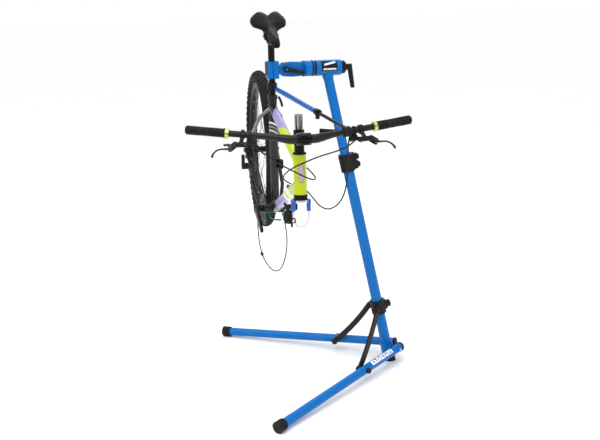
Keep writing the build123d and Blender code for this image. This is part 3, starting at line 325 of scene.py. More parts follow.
def make_frame_paints():
    """The bicycle frame's finishes, painted by place along each tube, with a painted highlight on the seat stays
    and painted reflections on the steerer.
    """
    seat_top, head_top = bike(0, 0, 1.190), on_steerer(0.036)
    top = tube_paint("top_tube_paint", seat_top, head_top,
                     [(0.084, LAVENDER, 1.6), (0.276, LIME, -1.2)], BLACK)
    seat_low, head_low = at(0, 0, BRACKET_UP), on_steerer(-0.034)
    down = tube_paint("down_tube_paint", seat_low, head_low,
                      [(0.10, LAVENDER, 1.5), (0.33, rgb(214, 222, 226), 1.8), (0.37, LIME, 1.8),
                       (0.40, rgb(222, 232, 190), 1.8), (0.47, LIME, 1.2)], BLACK)
    rings = []
    for i, grey in enumerate((rgb(176, 178, 180), rgb(120, 120, 122), rgb(206, 207, 210))):
        rings += [(0.318 + 0.016 * i, grey, 0.5), (0.326 + 0.016 * i, BLACK, 0.5)]
    seat = tube_paint("seat_tube_paint", seat_low, bike(0, 0, 1.24), rings, rgb(30, 28, 28), 0.4)
    head = coated("head_tube_paint", LIME, 0.3, cloud=0.05, Coat_Weight=0.2, Coat_Roughness=0.1)
    over = head.along(head_tube_middle, steering_axis)
    sideways = head.along(head_tube_middle, bike_left)
    forward = head.along(head_tube_middle, -bike_rear)
    badge_middle, badge_half_height, badge_half_width = 0.006, 0.034, 0.0125
    tall = head.times(head.math("SUBTRACT", over, badge_middle), 1 / badge_half_height)
    wide = head.times(sideways, 1 / badge_half_width)
    oval = head.plus(head.times(tall, tall), head.times(wide, wide))
    front = head.spread(forward, 0.004, 0.006, smooth=True)
    badge = head.times(front, head.spread(oval, 0.97, 1.03, 1.0, 0.0, smooth=True))
    paint_over(head, badge, rgb(96, 92, 92))
    inner = head.times(front, head.spread(oval, 0.78, 0.86, 1.0, 0.0, smooth=True))
    paint_over(head, inner, rgb(186, 176, 180), 0.22)
    slanting = head.math("FRACT", head.times(head.plus(over, sideways), 90.0))
    line = head.times(inner, head.between(slanting, 0.3, 0.55, 0.05))
    paint_over(head, line, rgb(120, 108, 112))
    fork = coated("fork_paint", rgb(206, 204, 214), 0.25, cloud=0.03, peel_depth=0.00002, Coat_Weight=0.4)
    sideways = fork.math("ABSOLUTE", fork.along(head_tube_middle, bike_left))
    up = fork.along(head_tube_middle, steering_axis)
    shoulders = fork.times(fork.spread(sideways, 0.0195, 0.0205), fork.spread(up, -0.133, -0.1325))
    paint_over(fork, shoulders, rgb(8, 84, 172))
    stays = coated("seat_stay_paint_with_painted_highlight", rgb(96, 92, 92), 0.35, cloud=0.08, Coat_Weight=0.35)
    # The light grey band along the stays' top side is a painted highlight: it stands for light catching the glossy
    # paint.
    high = stays.along(seat_top, (bike_rear * 0.45 + UP * 0.9).normalized())
    paint_over(stays, stays.between(high, -0.003, 0.022, 0.002), rgb(176, 172, 178))
    rim = coated("rim_and_spokes", rgb(16, 15, 15), 0.4, cloud=0.08)
    rim_foot = RIM_FOOT / 1000
    spokes = rim.spread(rim.radius(axle, bike_left), rim_foot - 0.0007, rim_foot - 0.0002, 1.0, 0.0)
    paint_over(rim, spokes, rgb(96, 94, 94), 0.36, 0.9)
    pipe = metal("steerer_steel_with_painted_reflections", STEEL, 0.16, brush=(1, 1, 0.02))
    # The three dark brownish stripes down the steerer are painted reflections on the bright steel.
    sideways = pipe.along(head_tube_middle, bike_left)
    for low, high, colour in ((-0.0125, -0.0085, rgb(70, 60, 56)), (-0.001, 0.005, rgb(112, 96, 90)),
                              (0.0095, 0.0128, rgb(62, 52, 50))):
        paint_over(pipe, pipe.between(sideways, low, high, 0.0012), colour)
    return {"steerer": pipe, "top_tube": top, "down_tube": down, "seat_tube": seat, "head_tube": head,
            "fork_stub": fork, "seat_stays": stays, "rear_rim": rim}


def make_stand_paints():
    barrel = powder_coat("barrel_paint", 0.32, 0.2)
    right = barrel.along((-0.2305, 0, 0), (1, 0, 0))
    paint_over(barrel, barrel.spread(right, -0.0002, 0.0002), BLACK, 0.45)
    jaw = powder_coat("moving_jaw_paint", 0.32, 0.3)
    outside = jaw.along((-0.5462, 0, 0), (1, 0, 0))
    paint_over(jaw, jaw.spread(outside, 0.0005, 0.0009, 1.0, 0.0), BLACK, 0.5)
    rod = coated("holder_tube_paint", rgb(0, 84, 158), 0.26, cloud=0.06, peel_depth=0.00004, Coat_Weight=0.1)
    return {"head_barrel": barrel, "moving_jaw": jaw, "holder_tube": rod}


# ------------------------------------------------------------------ camera
def make_camera():
    """The viewing place: turned towards +X, dipped below the horizon and rolled a little."""
    turn, dip, roll = radians(15.58), radians(-14.27), radians(-1.17)
    forward = Vector((sin(turn) * cos(dip), cos(turn) * cos(dip), sin(dip)))
    level_right = Vector((cos(turn), -sin(turn), 0))
    level_up = level_right.cross(forward)
    right = level_right * cos(roll) + level_up * sin(roll)
    above = level_up * cos(roll) - level_right * sin(roll)
    data = bpy.data.cameras.new("camera")
    data.sensor_width = 36.0
    data.lens = 52.5
    camera = bpy.data.objects.new("camera", data)
    axes = Matrix((right, above, -forward)).transposed()
    camera.matrix_world = Matrix.Translation((-1.3965, -3.5153, 1.6290)) @ axes.to_4x4()
    scene.collection.objects.link(camera)
    scene.camera = camera


make_camera()


# ------------------------------------------------------------------ hoses and cable housings
HOSE_RADIUS = 0.0025
hose_routes = {
    "left_brake_hose": [
        (-0.183, -0.685, 1.152), (-0.160, -0.696, 1.137), (-0.128, -0.708, 1.114), (-0.088, -0.716, 1.085),
        (-0.038, -0.712, 1.056), (0.008, -0.704, 1.030), (0.038, -0.682, 1.017), (0.045, -0.650, 1.026),
        (0.022, -0.618, 1.050)],
    "right_brake_hose": [
        (0.183, -0.685, 1.153), (0.160, -0.700, 1.138), (0.126, -0.716, 1.126), (0.084, -0.724, 1.117),
        (0.042, -0.721, 1.106), (0.002, -0.708, 1.088), (-0.036, -0.682, 1.067), (-0.060, -0.644, 1.040),
        (-0.062, -0.600, 1.015), (-0.046, -0.562, 0.994), (-0.022, -0.532, 0.978)],
    "shift_housing": [
        (0.167, -0.654, 1.155), (0.156, -0.678, 1.138), (0.150, -0.702, 1.102), (0.147, -0.710, 1.058),
        (0.144, -0.708, 1.012), (0.135, -0.704, 0.964), (0.114, -0.692, 0.926), (0.084, -0.670, 0.906),
        (0.058, -0.638, 0.916), (0.044, -0.600, 0.940), (0.018, -0.566, 0.969)],
    "hanging_housing": [
        (-0.060, 0.096, 0.806), (-0.066, 0.084, 0.758), (-0.070, 0.068, 0.704), (-0.071, 0.052, 0.646),
        (-0.068, 0.030, 0.588), (-0.054, -0.002, 0.532), (-0.026, -0.038, 0.496), (0.000, -0.070, 0.504),
        (0.018, -0.094, 0.552), (0.027, -0.106, 0.608), (0.030, -0.104, 0.662), (0.026, -0.088, 0.714),
        (0.016, -0.062, 0.764)],
}


def make_hose(name, route):
    curve = bpy.data.curves.new(name + "_line", "CURVE")
    curve.dimensions = "3D"
    curve.bevel_depth = HOSE_RADIUS
    curve.bevel_resolution = 4
    curve.resolution_u = 10
    curve.use_fill_caps = True
    spline = curve.splines.new("NURBS")
    spline.points.add(len(route) - 1)
    for point, place in zip(spline.points, route):
        point.co = (*bike(*place), 1)
    spline.order_u = 3
    spline.use_endpoint_u = True
    curve.materials.append(hose_skin.material)
    hose = bpy.data.objects.new(name + "_cord", curve)
    scene.collection.objects.link(hose)
    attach(hose, "clamp_head")
    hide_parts(name)


for name, route in hose_routes.items():
    make_hose(name, route)

# ------------------------------------------------------------------ finishes on the CAD nodes
plain_finishes = {
    "blue_paint": blue_paint, "black_metal": black_metal, "black_plastic": black_plastic,
    "black_rubber": black_rubber, "black_alloy": black_alloy, "saddle_cover": black_rubber,
    "frame_black": black_metal, "frame_lavender": blue_anodised, "frame_lime": lime_anodised,
    "frame_grey": black_metal, "blue_anodised": blue_anodised, "silver_steel": silver_steel,
    "steel_gears": dark_steel, "tyre": black_rubber, "hose": hose_skin,
}
special_finishes = {**make_frame_paints(), **make_stand_paints()}
for row in frame["record"]["subparts"]:
    if row["node"] in nodes:
        finish = special_finishes.get(row["node"], plain_finishes[row["material_slot"]])
        nodes[row["node"]].data.materials.clear()
        nodes[row["node"]].data.materials.append(finish.material)


# ------------------------------------------------------------------ shapes used many times
def placed(origin, z_dir, x_dir):
    """The matrix of a place: its origin, its own z, and roughly its own x."""
    z = Vector(z_dir).normalized()
    y = z.cross(Vector(x_dir)).normalized()
    turned = Matrix((y.cross(z), y, z)).transposed()
    return Matrix.Translation(origin) @ turned.to_4x4()


def beside(left, rear=0.0, up=0.0):
    """A place in the bicycle's upright plane, in millimetres: x to the rear, y up, z to the left."""
    return placed(at(left, rear, up), bike_left, bike_rear)


def curved(points, steps=8):
    """A smooth line through points."""
    points = [Vector(point) for point in points]
    ends = [points[0] * 2 - points[1]] + points + [points[-1] * 2 - points[-2]]
    line = []
    for a, b, c, d in zip(ends, ends[1:], ends[2:], ends[3:]):
        for step in range(steps):
            t = step / steps
            line.append(0.5 * (2 * b + (c - a) * t + (2 * a - 5 * b + 4 * c - d) * t * t
                               + (3 * b - a - 3 * c + d) * t ** 3))
    return line + [points[-1]]


class Shape:
    """A mesh put together from skinned rings, turned profiles, sweeps and flat plates."""

    def __init__(self):
        self.bm = bmesh.new()

    def skin(self, rings, loop=False, ends=True):
        rows = [[self.bm.verts.new(point) for point in ring] for ring in rings]
        count = len(rows[0])
        pairs = list(zip(rows, rows[1:])) + ([(rows[-1], rows[0])] if loop else [])
        for low, high in pairs:
            for i in range(count):
                self.bm.faces.new((low[i], low[(i + 1) % count], high[(i + 1) % count], high[i]))
        if ends and not loop:
            self.bm.faces.new(list(reversed(rows[0])))
            self.bm.faces.new(rows[-1])
        return self

    def turned(self, place, profile, segments=48, ripple=None, loop=False):
        """A (height, radius) profile in millimetres turned about a place's z; ripple scales its radius."""
        rings = []
        for height, radius in profile:
            ring = []
            for i in range(segments):
                angle = tau * i / segments
                reach = radius / 1000 * (ripple(angle, height) if ripple else 1)
                ring.append(place @ Vector((reach * cos(angle), reach * sin(angle), height / 1000)))
            rings.append(ring)
        return self.skin(rings, loop)

    def swept(self, line, radius, segments=16, flat=1.0, side=None):
        """A round or flattened bar along a line; radius in millimetres, one value or one for each point."""
        line = [Vector(point) for point in line]
        sizes = radius if isinstance(radius, (list, tuple)) else [radius] * len(line)
        across = Vector(side) if side else (line[1] - line[0]).orthogonal()
        rings = []
        for i, point in enumerate(line):
            ahead = (line[min(i + 1, len(line) - 1)] - line[max(i - 1, 0)]).normalized()
            across = (across - ahead * across.dot(ahead)).normalized()
            other = ahead.cross(across)
            size = sizes[i] / 1000
            rings.append([point + across * (size * cos(turn)) + other * (size * flat * sin(turn))
                          for turn in (tau * k / segments for k in range(segments))])
        return self.skin(rings)

    def plate(self, place, outlines, half, bevel=0.3):
        """A flat plate with holes, in millimetres; the first outline is its edge."""
        curve = bpy.data.curves.new("plate", "CURVE")
        curve.dimensions = "2D"
        curve.fill_mode = "BOTH"
        curve.extrude = (half - bevel) / 1000
        curve.bevel_depth = bevel / 1000
        curve.bevel_resolution = 1
        curve.offset = -bevel / 1000
        for outline in outlines:
            spline = curve.splines.new("POLY")
            spline.points.add(len(outline) - 1)
            for point, (x, y) in zip(spline.points, outline):
                point.co = (x / 1000, y / 1000, 0, 1)
            spline.use_cyclic_u = True
        maker = bpy.data.objects.new("plate", curve)
        scene.collection.objects.link(maker)
        mesh = bpy.data.meshes.new_from_object(maker.evaluated_get(bpy.context.evaluated_depsgraph_get()))
        mesh.transform(place)
        self.bm.from_mesh(mesh)
        bpy.data.objects.remove(maker)
        bpy.data.meshes.remove(mesh)
        return self

    def bolt(self, origin, out, size=4.0, rise=3.0):
        """A round bolt head with a hex socket, standing out from a surface."""
        place = placed(origin, out, Vector((0.3, 0.5, 0.8)))

        def corners(angle, height):
            return 1 / cos((angle % (pi / 3)) - pi / 6)

        self.turned(place, [(-1, size), (rise * 0.7, size), (rise, size * 0.85), (rise, size * 0.56)], 24)
        self.turned(place, [(rise + 0.02, size * 0.5), (rise * 0.3, size * 0.48)], 24, corners)
        return self

    def done(self, name, finish, slot, body="clamp_head", stands_for=(), sharp=32):
        """Finish the piece: its material, its body and the CAD nodes that it stands for. The slot argument is not
        used.
        """
        bmesh.ops.remove_doubles(self.bm, verts=self.bm.verts, dist=1e-6)
        bmesh.ops.recalc_face_normals(self.bm, faces=self.bm.faces)
        mesh = bpy.data.meshes.new(name)
        self.bm.to_mesh(mesh)
        self.bm.free()
        mesh.shade_smooth()
        mesh.set_sharp_from_angle(angle=radians(sharp))
        mesh.materials.append(finish.material)
        piece = bpy.data.objects.new(name, mesh)
        scene.collection.objects.link(piece)
        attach(piece, body)
        if stands_for:
            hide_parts(*stands_for)
        return piece


def circle(radius, x=0.0, y=0.0, count=40):
    return [(x + radius * cos(tau * i / count), y + radius * sin(tau * i / count)) for i in range(count)]


def hull(circles, count=40):
    """The outline round several (radius, x, y) circles."""
    points = sorted({point for radius, x, y in circles for point in circle(radius, x, y, count)})
    chains = []
    for run in (points, list(reversed(points))):
        chain = []
        for point in run:
            while len(chain) > 1:
                (ax, ay), (bx, by) = chain[-2], chain[-1]
                if (bx - ax) * (point[1] - ay) - (by - ay) * (point[0] - ax) > 0:
                    break
                chain.pop()
            chain.append(point)
        chains.append(chain[:-1])
    return chains[0] + chains[1]


# ------------------------------------------------------------------ rear tyre and rim details
TYRE_MIDDLE = 331.5


def on_wheel(left, reach, turn):
    """A point of the rear wheel by its turn round the axle, in millimetres."""
    return at(left, AXLE_REAR + reach * cos(turn), AXLE_UP + reach * sin(turn))


def tyre_point(turn, around, size):
    """A point of the tyre by its turn round the wheel and its angle and distance round the casing."""
    return on_wheel(size * sin(around), TYRE_MIDDLE + size * cos(around), turn)


def make_tyre():
    shape = Shape()
    outer = [(radians(angle), 25.4) for angle in range(-150, 151, 12)]
    section = [(radians(-152), 27.6)] + outer + [(radians(152), 27.6)]
    section += [(angle, 22.6) for angle, size in reversed(outer)]
    turns = [tau * i / 108 for i in range(108)]
    shape.skin([[tyre_point(turn, angle, size) for angle, size in section] for turn in turns], loop=True)

    def knob(turn, around, long, wide, rise, lean=0.0):
        """A tread block, narrower at its top; long and wide are its half sizes in millimetres."""
        rings = []
        for size, share in ((24.6, 1.0), (25.6 + rise * 0.6, 0.94), (25.2 + rise, 0.8)):
            turn_half, around_half = share * long / 350, share * wide / 27
            rings.append([tyre_point(turn + a * turn_half + b * lean, around + b * around_half, size)
                          for a, b in ((-1, -1), (1, -1), (1, 1), (-1, 1))])
        shape.skin(rings)

    for step in range(66):
        turn = tau * step / 66
        shift = 0.5 * tau / 66 * (step % 2)
        for side in (-1, 1):
            knob(turn + side * 0.012, side * radians(13), 6.6, 4.6, 3.0, side * 0.006)
            knob(turn + shift + 0.03, side * radians(40), 5.4, 4.2, 2.9, -side * 0.01)
            knob(turn, side * radians(67), 6.0, 4.4, 2.8)
    for side in (-1, 1):
        for around, rise in ((98, 0.9), (112, 0.7), (136, 0.9)):
            band = ((-2, 0), (-1, rise), (1, rise), (2, 0))
            shape.skin([[tyre_point(turn, side * radians(around + d), 25.2 + h) for d, h in band]
                        for turn in turns], loop=True)
    return shape.done("knobbed_tyre", tyre_rubber, "tyre", "rear_wheel", stands_for=["rear_tyre"], sharp=40)


def make_wheel_details():
    nipples = Shape()
    pairs, lean = 7, radians(58)
    for offset in (0.0, 0.5):
        for pair in range(pairs):
            for turn in (-1, 1):
                angle = tau * (pair + offset) / pairs + turn * lean
                foot = on_wheel(turn, RIM_FOOT, angle)
                inward = on_wheel(turn, 0, 0) - foot
                nipples.turned(placed(foot, inward, bike_left), [(-2, 2.2), (9, 2.0), (12, 1.4)], 10)
    valve_turn = 2.9
    foot = on_wheel(0, RIM_FOOT, valve_turn)
    valve = placed(foot, on_wheel(0, 0, 0) - foot, bike_left)
    nipples.turned(valve, [(-2, 5.5), (1.5, 5.5), (2, 3), (28, 3), (30, 2.2), (38, 2.2), (38.5, 1.2)], 20)
    nipples.done("spoke_nipples_and_valve", silver_steel, "silver_steel", "rear_wheel")


# ------------------------------------------------------------------ toothed wheels and the chain
PITCH = 12.7
CHAIN_LEFT = -49.0


def pin_circle(teeth):
    return PITCH / (2 * sin(pi / teeth))


def toothed(teeth, phase=0.0, samples=12):
    """A sprocket's outline: a valley at every chain pin, a tooth between each two."""
    outline = []
    for step in range(teeth * samples):
        swell = (0.5 - 0.5 * cos(tau * (step % samples) / samples)) ** 0.85
        reach = pin_circle(teeth) - 3.9 + 6.6 * min(swell * 1.12, 1)
        angle = phase + tau * step / (teeth * samples)
        outline.append((reach * cos(angle), reach * sin(angle)))
    return outline


PULLEYS = {"guide_pulley": (408, 874), "tension_pulley": (370, 803)}
chain_wheels = [((0, BRACKET_UP), 32, 1), (PULLEYS["tension_pulley"], 11, 1),
                (PULLEYS["guide_pulley"], 11, -1), ((AXLE_REAR, AXLE_UP), 22, 1)]


def turned_by(flat, angle):
    return Vector((flat.x * cos(angle) - flat.y * sin(angle), flat.x * sin(angle) + flat.y * cos(angle)))


def chain_runs():
    """Where each straight run of the chain leaves one wheel and reaches the next, as (rear, up)."""
    runs = []
    for i, (place, teeth, turn) in enumerate(chain_wheels):
        following, next_teeth, next_turn = chain_wheels[(i + 1) % len(chain_wheels)]
        gap = Vector(following) - Vector(place)
        size, next_size = turn * pin_circle(teeth), next_turn * pin_circle(next_teeth)
        bend = -acos((size - next_size) / gap.length)
        ahead = gap.normalized()
        normal = turned_by(ahead, bend)
        runs.append((Vector(place) + normal * size, Vector(following) + normal * next_size))
    return runs


def chain_line():
    """The chain's closed line as close-set (rear, up) points."""
    runs = chain_runs()
    line = []
    for i, (place, teeth, turn) in enumerate(chain_wheels):
        first, last = runs[i - 1][1] - Vector(place), runs[i][0] - Vector(place)
        start = atan2(first.y, first.x)
        sweep = (atan2(last.y, last.x) - start) % tau
        if turn < 0:
            sweep -= tau
        for step in range(60):
            angle = start + sweep * step / 60
            line.append(Vector(place) + Vector((cos(angle), sin(angle))) * pin_circle(teeth))
        for step in range(60):
            line.append(runs[i][0].lerp(runs[i][1], step / 60))
    return line


def chain_pins():
    """Evenly spaced pins along the chain, an even number of them."""
    line = chain_line()
    line.append(line[0])
    travelled = [0.0]
    for a, b in zip(line, line[1:]):
        travelled.append(travelled[-1] + (b - a).length)
    count = 2 * round(travelled[-1] / PITCH / 2)
    pins, k = [], 0
    for i in range(count):
        goal = travelled[-1] * i / count
        while travelled[k + 1] < goal:
            k += 1
        pins.append(line[k].lerp(line[k + 1], (goal - travelled[k]) / (travelled[k + 1] - travelled[k])))
    return pins


pins = chain_pins()


def wheel_phase(place, teeth):
    """The angle of the chain pin nearest to a wheel's pin circle."""
    offsets = [pin - Vector(place) for pin in pins]
    offset = min(offsets, key=lambda away: abs(away.length - pin_circle(teeth)) + away.length * 0.001)
    return atan2(offset.y, offset.x)


def make_chain():
    shape = Shape()
    for i, pin in enumerate(pins):
        following = pins[(i + 1) % len(pins)]
        gap = following - pin
        tilt = atan2(gap.y, gap.x)
        outline = []
        for k in range(20):
            angle = tau * k / 20
            x, y = 4.1 * cos(angle), 4.1 * sin(angle)
            x, y = x + (gap.length if x > 0 else 0), y * (0.8 if abs(cos(angle)) < 0.35 else 1)
            outline.append(pin + turned_by(Vector((x, y)), tilt))
        for side in (-1, 1):
            depth = side * (3.2 if i % 2 else 2.2)
            shape.skin([[at(CHAIN_LEFT + depth + lift, *point) for point in outline] for lift in (-0.5, 0.5)])
        shape.turned(beside(CHAIN_LEFT, pin.x, pin.y), [(-2.0, 3.8), (2.0, 3.8)], 14)
        shape.turned(beside(CHAIN_LEFT, pin.x, pin.y), [(-4.1, 1.4), (-3.9, 1.9), (3.9, 1.9), (4.1, 1.4)], 10)
    return shape.done("roller_chain", dark_steel, "steel_gears", stands_for=["chain"])


def circle_of_holes(count, middle, size, start=0.0, points=40):
    turns = [tau * k / count + start for k in range(count)]
    return [circle(size, middle * cos(turn), middle * sin(turn), points) for turn in turns]


def make_gears():
    ring, arms, first_arm = Shape(), 4, 0.49
    windows = circle_of_holes(arms, 37.5, 11.5, first_arm)
    teeth = toothed(32, wheel_phase((0, BRACKET_UP), 32))
    ring.plate(beside(CHAIN_LEFT, 0, BRACKET_UP), [teeth, circle(14)] + windows, 1.7)
    for k in range(arms):
        angle = tau * (k + 0.5) / arms + first_arm
        ring.bolt(at(CHAIN_LEFT - 1.6, 40 * cos(angle), BRACKET_UP + 40 * sin(angle)), -bike_left, 5, 2)
    ring.done("toothed_chainring", black_metal, "black_metal", "crank_set", stands_for=["chainring"])

    stack = Shape()
    for left, teeth in ((-31, 34), (-35.5, 31), (-40, 28), (-44.3, 25), (-49, 22), (-53.8, 19), (-58.5, 16)):
        phase = wheel_phase((AXLE_REAR, AXLE_UP), 22) if teeth == 22 else 0.1 * teeth
        hole = pin_circle(teeth) - 9 if teeth > 22 else 15
        loops = [toothed(teeth, phase), circle(min(hole, 21))]
        if teeth > 24:
            inner, outer = 24, pin_circle(teeth) - 8
            loops += circle_of_holes(6, (outer + inner) / 2, (outer - inner) / 2 * 0.8, left, 24)
        stack.plate(beside(left, AXLE_REAR, AXLE_UP), loops, 0.9, 0.2)
    stack.turned(beside(-46, AXLE_REAR, AXLE_UP), [(-15, 10), (-15, 15), (-14, 18.5), (15, 22), (16, 15)], 36)
    stack.done("toothed_cassette", dark_steel, "steel_gears", "cassette", stands_for=["cassette"])

    for name, place in PULLEYS.items():
        wheel = Shape()
        edges = [toothed(11, wheel_phase(place, 11), 14), circle(4.2)] + circle_of_holes(6, 10.5, 3.0, 0, 18)
        wheel.plate(beside(CHAIN_LEFT, *place), edges, 1.9)
        wheel.done("toothed_" + name, black_plastic, "black_plastic", name, stands_for=[name])


def make_cranks():
    arms, bolts = Shape(), Shape()
    crank, crank_left, drop = 170, 84, radians(17)
    for side in (-1, 1):
        pedal = (side * crank * cos(drop), side * crank * sin(drop))
        place = beside(side * crank_left, 0, BRACKET_UP)
        arms.plate(place, [hull([(18.5, 0, 0), (12.5, *pedal)], 72), circle(7.14, *pedal)], 6.4, 2.4)
        ends = ((7.5, 0.24), (5.5, 0.78))
        groove = hull([(size, pedal[0] * share, pedal[1] * share) for size, share in ends], 40)
        arms.plate(beside(side * (crank_left + 6), 0, BRACKET_UP), [groove], 1.0, 0.8)
        boss = [(-9, 16.5), (8, 16.5), (9, 15)] if side > 0 else [(-9, 15), (-8, 16.5), (9, 16.5)]
        arms.turned(place, boss, 40)
        rim = placed(at(side * (crank_left + 8), 0, BRACKET_UP), bike_left * side, bike_rear)
        bolts.turned(rim, [(-1, 12.5), (1.2, 12.5), (2.0, 11.5), (2.0, 7), (-2, 6.5)], 36)
        sleeve = beside(side * crank_left, pedal[0], BRACKET_UP + pedal[1])
        bolts.turned(sleeve, [(-6.5, 9.6), (-6.7, 7.2), (6.7, 7.2), (6.5, 9.6)], 28, loop=True)
    arms.turned(beside(0, 0, BRACKET_UP), [(-80, 12), (80, 12)], 40)
    arms.turned(beside(-60, 0, BRACKET_UP), [(-12, 14), (9.0, 14.5), (10.6, 30), (12.6, 30), (16, 17)], 40)
    arms.done("forged_crank_arms", black_alloy, "black_alloy", "crank_set", stands_for=["cranks"])
    bolts.done("crank_bolts", silver_steel, "silver_steel", "crank_set")


# ------------------------------------------------------------------ handlebar, grips and levers
BAR_REAR = 138 * sin(steering_tilt) - 692
BAR_UP = 1025 + 138 * cos(steering_tilt)
BEND_OUT = Vector((98, BAR_REAR + 10, BAR_UP + 9))
BAR_TIP = Vector((395, BAR_REAR + 57, BAR_UP + 42))


def on_bar(side, left):
    """A point on the handlebar's axis, by its distance from the middle in millimetres."""
    point = BEND_OUT.lerp(BAR_TIP, (left - BEND_OUT.x) / (BAR_TIP.x - BEND_OUT.x))
    return at(side * point.x, point.y, point.z)


def bar_place(side, left):
    out = on_bar(side, left + 1) - on_bar(side, left)
    return placed(on_bar(side, left), out, UP)


def make_bar():
    """The bar from its middle to the left tip, then the same flipped over for the right."""
    clamped = [(0, 0, 0, 15.9), (20, 0, 0, 15.9), (36, 0, 0, 15.9), (46, 0.7, 0.4, 15.8),
               (66, 4.2, 3.4, 14.8), (84, 7.4, 6.6, 13.2)]
    half = [(at(left, BAR_REAR + rear, BAR_UP + up), size) for left, rear, up, size in clamped]
    half += [(on_bar(1, left), size) for left, size in ((104, 11.6), (125, 11.1), (260, 11.1), (394, 11.1))]
    line = [point - bike_left * (2 * (point - bracket).dot(bike_left)) for point, size in reversed(half[1:])]
    line += [point for point, size in half]
    sizes = [size for point, size in half[:0:-1] + half]
    bar = Shape().swept(line, sizes, 28)
    bar.done("tapered_handlebar", bar_alloy, "black_alloy", stands_for=["handlebar"], sharp=50)


def make_grips():
    """Ribbed grips with their lock rings, built outwards from a place on the bar."""
    rubber, rings, plugs = Shape(), Shape(), Shape()
    ribs = ((8, 44, 4, 14.2, 15.9), (50, 82, 5.3, 14.0, 15.6), (88, 122, 4, 14.2, 15.9))

    def pads(angle, height):
        return 1.0 + (0.012 * cos(6 * angle) if 8 < height < 122 else 0)

    for side in (-1, 1):
        place = bar_place(side, 265)
        profile = [(0, 11.2), (0, 17.2), (2.5, 17.2), (4, 15.2)]
        for start, stop, step, low, high in ribs:
            along = start
            while along < stop:
                end = along + step * 0.55
                profile += [(along, low), (along + 0.4, high), (end, high), (end + 0.4, low)]
                along += step
            profile += [(stop + 0.6, 15.0), (stop + 4.4, 15.0)]
        profile += [(127, 16.0), (128.6, 15.0), (129, 11.2)]
        rubber.turned(place, profile, 54, pads)
        collar = bar_place(side, 251)
        rings.turned(collar, [(0, 11.3), (0, 16.2), (1, 17.8), (12.5, 17.8), (13.6, 16.4), (13.6, 11.3)], 48)
        plugs.bolt(collar @ Vector((0, -0.0172, 0.0042)), collar.to_3x3() @ Vector((0, -1, 0)), 2.3, 1.2)
        tip = bar_place(side, 394)
        plugs.turned(tip, [(-1, 11.5), (0.6, 11.5), (1.4, 10.5), (1.4, 6), (0.6, 5.4)], 36)
    rubber.done("ribbed_grips", grip_rubber, "black_rubber", stands_for=["grips"], sharp=28)
    rings.done("grip_lock_rings", ring_alloy, "frame_lime")
    plugs.done("grip_plugs", black_plastic, "black_plastic")


def lever_place(side):
    """A brake lever's own place: x out along the bar, y away from it."""
    out = (on_bar(side, 206) - on_bar(side, 205)).normalized()
    reach = bike_rear * -0.66 + UP * -0.75
    normal = out.cross(reach).normalized()
    return placed(on_bar(side, 205), normal, out)


def make_levers():
    bolts = Shape()
    for side, name in ((1, "left"), (-1, "right")):
        place = lever_place(side)
        blade = Shape()
        flat_line = [(43.2, 61.5), (52, 63.2), (62, 64.4), (73, 67), (82, 73), (89, 82), (93, 92), (94, 100)]
        line = curved([place @ Vector((x / 1000, y / 1000, 0)) for x, y in flat_line], 6)
        shares = [i / len(line) for i in range(len(line))]
        sizes = [5.4 - 1.6 * sin(pi * min(share * 1.1, 1)) + (0.8 if share > 0.8 else 0) for share in shares]
        sizes[0] *= 0.7
        sizes[-1] *= 0.6
        blade.swept(line, sizes, 18, flat=0.62, side=place.to_3x3() @ Vector((0, 0, 1)))
        hub = Matrix.Translation(place @ Vector((0.037, 0.060, 0))) @ place.to_3x3().to_4x4()
        blade.turned(hub, [(-7, 3.1), (-7, 6.2), (-6.4, 6.6), (6.4, 6.6), (7, 6.2), (7, 3.1)], 30, loop=True)
        body = "brake_blade_" + name
        blade.done("curved_" + body, lever_alloy, "black_metal", body, stands_for=[body])
        normal = place.to_3x3() @ Vector((0, 0, 1))
        for sign in (-1, 1):
            bolts.bolt(place @ Vector((0.037, 0.060, sign * 0.0104)), normal * sign, 4.2, 1.8)
            bolts.bolt(place @ Vector((0.0, -0.008 * sign, 0.0155)), normal, 2.6, 1.8)
        bolts.bolt(place @ Vector((-0.012, 0.044, 0.0085)), normal, 3.0, 1.2)
    bolts.done("lever_bolts", dark_steel, "silver_steel")


def make_stem_bolts():
    bolts = Shape()
    for left in (-16, 16):
        for up in (-14, 14):
            bolts.bolt(at(left, BAR_REAR - 19.5, BAR_UP + up), -bike_rear + UP * (up / 60), 3.6, 2.4)
    for along in (0.128, 0.148):
        bolts.bolt(on_steerer(along) + bike_rear * 0.019, bike_rear, 3.2, 2.0)
    bolts.done("stem_bolts", dark_steel, "silver_steel")
    plate = Shape()
    line = [(-21, -17), (21, -17), (23, -12), (23, 12), (21, 17), (-21, 17), (-23, 12), (-23, -12)]
    face = placed(at(0, BAR_REAR - 18.2, BAR_UP), -bike_rear, bike_left)
    plate.plate(face, [line, [(-11, -8), (11, -8), (11, 8), (-11, 8)]], 2.4, 1.0)
    plate.done("stem_face_plate", black_alloy, "black_alloy")


# ------------------------------------------------------------------ saddle
saddle_tilt = radians(22)
saddle_place = placed(at(0, 0, 1478), UP * cos(saddle_tilt) - bike_rear * sin(saddle_tilt), bike_left)


def saddle_edge():
    """The saddle's outline seen from above, in millimetres: a narrow nose and two rear lobes."""
    half = [(0, -146), (10, -143), (16, -131), (18, -104), (20, -66), (22, -26), (28, 6), (46, 28), (64, 48),
            (73, 76), (70, 104), (56, 124), (37, 130), (17, 122), (0, 113)]
    line = curved([(x, y, 0) for x, y in half], 5)
    return [(p.x, p.y) for p in line] + [(-p.x, p.y) for p in reversed(line[1:-1])]


